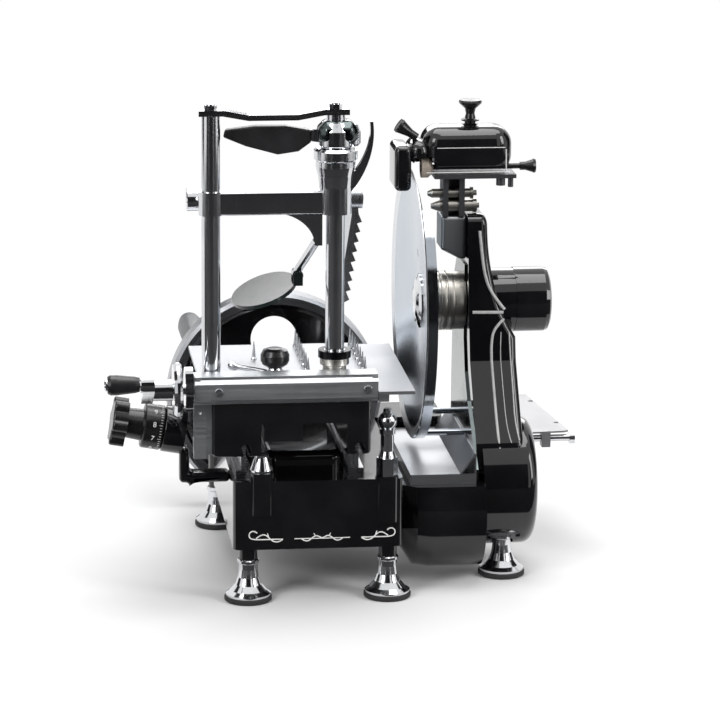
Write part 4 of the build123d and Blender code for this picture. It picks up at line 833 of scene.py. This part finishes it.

# %% [markdown]
# ## The cam's hub
#
# The cam that locks the clamp sits in a heavy block with sloped corners. The block mirrors the
# dark room, and that dark reflection is painted into its colour as a nearly black chrome. Its long
# corners are cut once at a slant and all others get a small round.
# A bore lets the post through.

# %% Cam's hub
hub = block((-0.0450, -0.2350, 0.4925), (-0.0030, -0.2030, 0.5190))
soften(hub, lambda at, way: abs(way.y) > 0.9, 0.0075, 1)
soften(hub, lambda at, way: abs(way.y) < 0.9, 0.0018, 3)
bore = turned_disc((*RIGHT_POST[:2], 0.506), 0.0102, 0.060, sides=48)
merge(hub, bore, "DIFFERENCE")
# The nearly black chrome here is a painted reflection of the dark room that the hub mirrors.
keep(hub, "cam_hub", "lock_lever", dark_chrome, 30)

# %% [markdown]
# ## The turned sleeve on the knife's bearing
#
# Between the knife and the column the bearing wears a bright sleeve, turned in steps. It is a
# stack of low discs, each with softened rims, merged into one piece and bored through.

# %% Bearing sleeve
SLEEVE_BORE = 0.0233
SLEEVE_STEPS = ((0.1040, 0.1075, 0.0315), (0.1070, 0.1130, 0.0330), (0.1125, 0.1150, 0.0318),
                (0.1145, 0.1215, 0.0330), (0.1210, 0.1345, 0.0322))
ALONG_X = (0, radians(90), 0)
sleeve = None
for start, end, radius in SLEEVE_STEPS:
    ring = turned_disc(((start + end) / 2, *KNIFE[1:]), radius, end - start,
                       ALONG_X, 0.0005, 64)
    settle(ring)
    sleeve = merge(sleeve, ring) if sleeve else ring
core = turned_disc((0.119, *KNIFE[1:]), SLEEVE_BORE, 0.060, ALONG_X, 0.0003, 64)
merge(sleeve, core, "DIFFERENCE")
keep(sleeve, "bearing_sleeve", "frame", nickel_satin, 30)

# %% [markdown]
# ## The dial's bracket
#
# The dial stands on a bracket that reaches out from the base's left wall. The solid model has
# it as plain bars. Here the arm is slimmer, with a rounded knee and a round sleeve for the
# dial, so that the flywheel shows behind it.

# %% Dial bracket
arm = block((-0.1780, -0.1900, 0.1215), (-0.1345, -0.1660, 0.1325))
upright = block((-0.1890, -0.1900, 0.1215), (-0.1780, -0.1660, 0.1600))
merge(arm, upright)
soften(arm, lambda at, way: abs(way.y) > 0.9 and at.x < -0.150, 0.0048, 5)
soften(arm, lambda at, way: abs(way.y) < 0.7 and at.x < -0.1350, 0.0020, 3)
DIAL_TURN = (0, LEAN - radians(90), 0)
barrel = turned_disc(DIAL_START + DIAL_ALONG * 0.0145, 0.0250, 0.0230, DIAL_TURN, 0.0012, 64)
settle(barrel)
merge(arm, barrel)
pin_hole = turned_disc(DIAL_START + DIAL_ALONG * 0.0195, 0.0041, 0.0160, DIAL_TURN, 0.0001)
merge(arm, pin_hole, "DIFFERENCE")
keep(arm, "dial_arm", "frame", enamel_black, 35)
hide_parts("dial_bracket")

# %% [markdown]
# ## Light, floor and backdrop
#
# A catalogue picture of a black and bright machine is lit by large soft boxes. Chrome only
# looks like chrome when it has something dark to show between the lights, so black boards
# stand round the machine and lie before it. The camera doesn't see them, and reflections do.

# %% Studio
def floor_finish():
    """Pale paint near the machine, and plain white further off, as the camera sees it."""
    paper = Finish("pale_floor", Specular_IOR_Level=0.2)
    cloud = paper.noise(3, 2)
    tone = paper.blend(cloud, (0.86, 0.86, 0.86), (0.89, 0.89, 0.89))
    material = paper.set(Base_Color=tone, Roughness=0.7 + cloud * 0.1)
    path = paper.node("ShaderNodeLightPath", {}, {})
    sight = Value(paper, path.outputs["Is Camera Ray"]).join(
        "MAXIMUM", Value(paper, path.outputs["Is Glossy Ray"]))
    far = paper.distance((0, 0.1, 0), "Z").step(0.35, 1.3)
    white = paper.node("ShaderNodeEmission", {}, {"Color": (1, 1, 1, 1), "Strength": 1.0})
    mixed = paper.node("ShaderNodeMixShader", {}, {
        0: far * sight, 1: paper.shader.outputs[0], 2: white.outputs[0]})
    output = paper.tree.nodes["Material Output"]
    paper.tree.links.new(mixed.outputs[0], output.inputs["Surface"])
    return material


alone()
bpy.ops.mesh.primitive_plane_add(size=14, location=(0, 0, 0))
floor = bpy.context.object
floor.name = "floor"
floor.data.materials.append(floor_finish())


def board(name, place, size, turn):
    """A plain board that only reflections see."""
    alone()
    bpy.ops.mesh.primitive_plane_add(size=1, location=place, rotation=turn)
    panel = bpy.context.object
    panel.name = name
    panel.scale = (*size, 1)
    paint = bpy.data.materials.new(name)
    paint.use_nodes = True
    shader = paint.node_tree.nodes["Principled BSDF"]
    shader.inputs["Base Color"].default_value = (*BOARD_BLACK, 1)
    shader.inputs["Roughness"].default_value = 1.0
    panel.data.materials.append(paint)
    panel.visible_camera = False
    panel.visible_shadow = False
    panel.visible_diffuse = False


BOARD_BLACK = (0.012, 0.012, 0.013)
BOARDS = {"front_left": (-2.3, -2.6, 1.5), "front_right": (2.5, -2.3, 1.5),
          "left": (-2.6, 0.5, 1.6), "right": (2.6, 0.6, 1.6), "back": (-0.2, 3.4, 1.3)}
for side, (x, y, width) in BOARDS.items():
    facing = atan2(-y, -x) - radians(90)
    board("board_" + side, (x, y, 1.3), (width, 2.8), (radians(90), 0, facing))
board("board_low_front", (0, -1.85, 0.004), (5.0, 3.2), (0, 0, 0))
board("board_front", (-0.15, -3.1, 1.35), (2.5, 2.7), (radians(90), 0, 0))


def soft_box(name, place, aim, width, height, power):
    """A large rectangular lamp that faces a point."""
    lamp = bpy.data.lights.new(name, "AREA")
    lamp.shape, lamp.size, lamp.size_y, lamp.energy = "RECTANGLE", width, height, power
    holder = bpy.data.objects.new(name, lamp)
    bpy.context.scene.collection.objects.link(holder)
    holder.location = place
    holder.rotation_euler = (Vector(aim) - Vector(place)).to_track_quat("-Z", "Y").to_euler()


CENTRE = (0, 0, 0.25)
soft_box("box_left", (-1.5, -1.6, 1.3), CENTRE, 0.7, 1.6, 26)
soft_box("box_right", (1.7, -1.3, 1.2), CENTRE, 0.6, 1.6, 22)
soft_box("box_above", (0.1, 0.1, 2.1), CENTRE, 1.8, 1.2, 30)
soft_box("box_back", (0.3, 1.9, 1.2), CENTRE, 1.6, 0.8, 14)

world = bpy.data.worlds.new("studio")
bpy.context.scene.world = world
world.use_nodes = True
tree = world.node_tree
tree.nodes.clear()
path = tree.nodes.new("ShaderNodeLightPath")
seen = tree.nodes.new("ShaderNodeMath")
seen.operation = "MAXIMUM"
tree.links.new(path.outputs["Is Camera Ray"], seen.inputs[0])
tree.links.new(path.outputs["Is Glossy Ray"], seen.inputs[1])
either = tree.nodes.new("ShaderNodeMath")
either.operation = "MAXIMUM"
tree.links.new(seen.outputs[0], either.inputs[0])
tree.links.new(path.outputs["Is Transmission Ray"], either.inputs[1])
plain = tree.nodes.new("ShaderNodeBackground")
plain.inputs["Color"].default_value = (1, 1, 1, 1)
plain.inputs["Strength"].default_value = 0.32
white = tree.nodes.new("ShaderNodeBackground")
white.inputs["Color"].default_value = (1, 1, 1, 1)
white.inputs["Strength"].default_value = 1.0
mix = tree.nodes.new("ShaderNodeMixShader")
tree.links.new(either.outputs[0], mix.inputs[0])
tree.links.new(plain.outputs[0], mix.inputs[1])
tree.links.new(white.outputs[0], mix.inputs[2])
out = tree.nodes.new("ShaderNodeOutputWorld")
tree.links.new(mix.outputs[0], out.inputs["Surface"])
bpy.context.scene.view_settings.view_transform = "Standard"
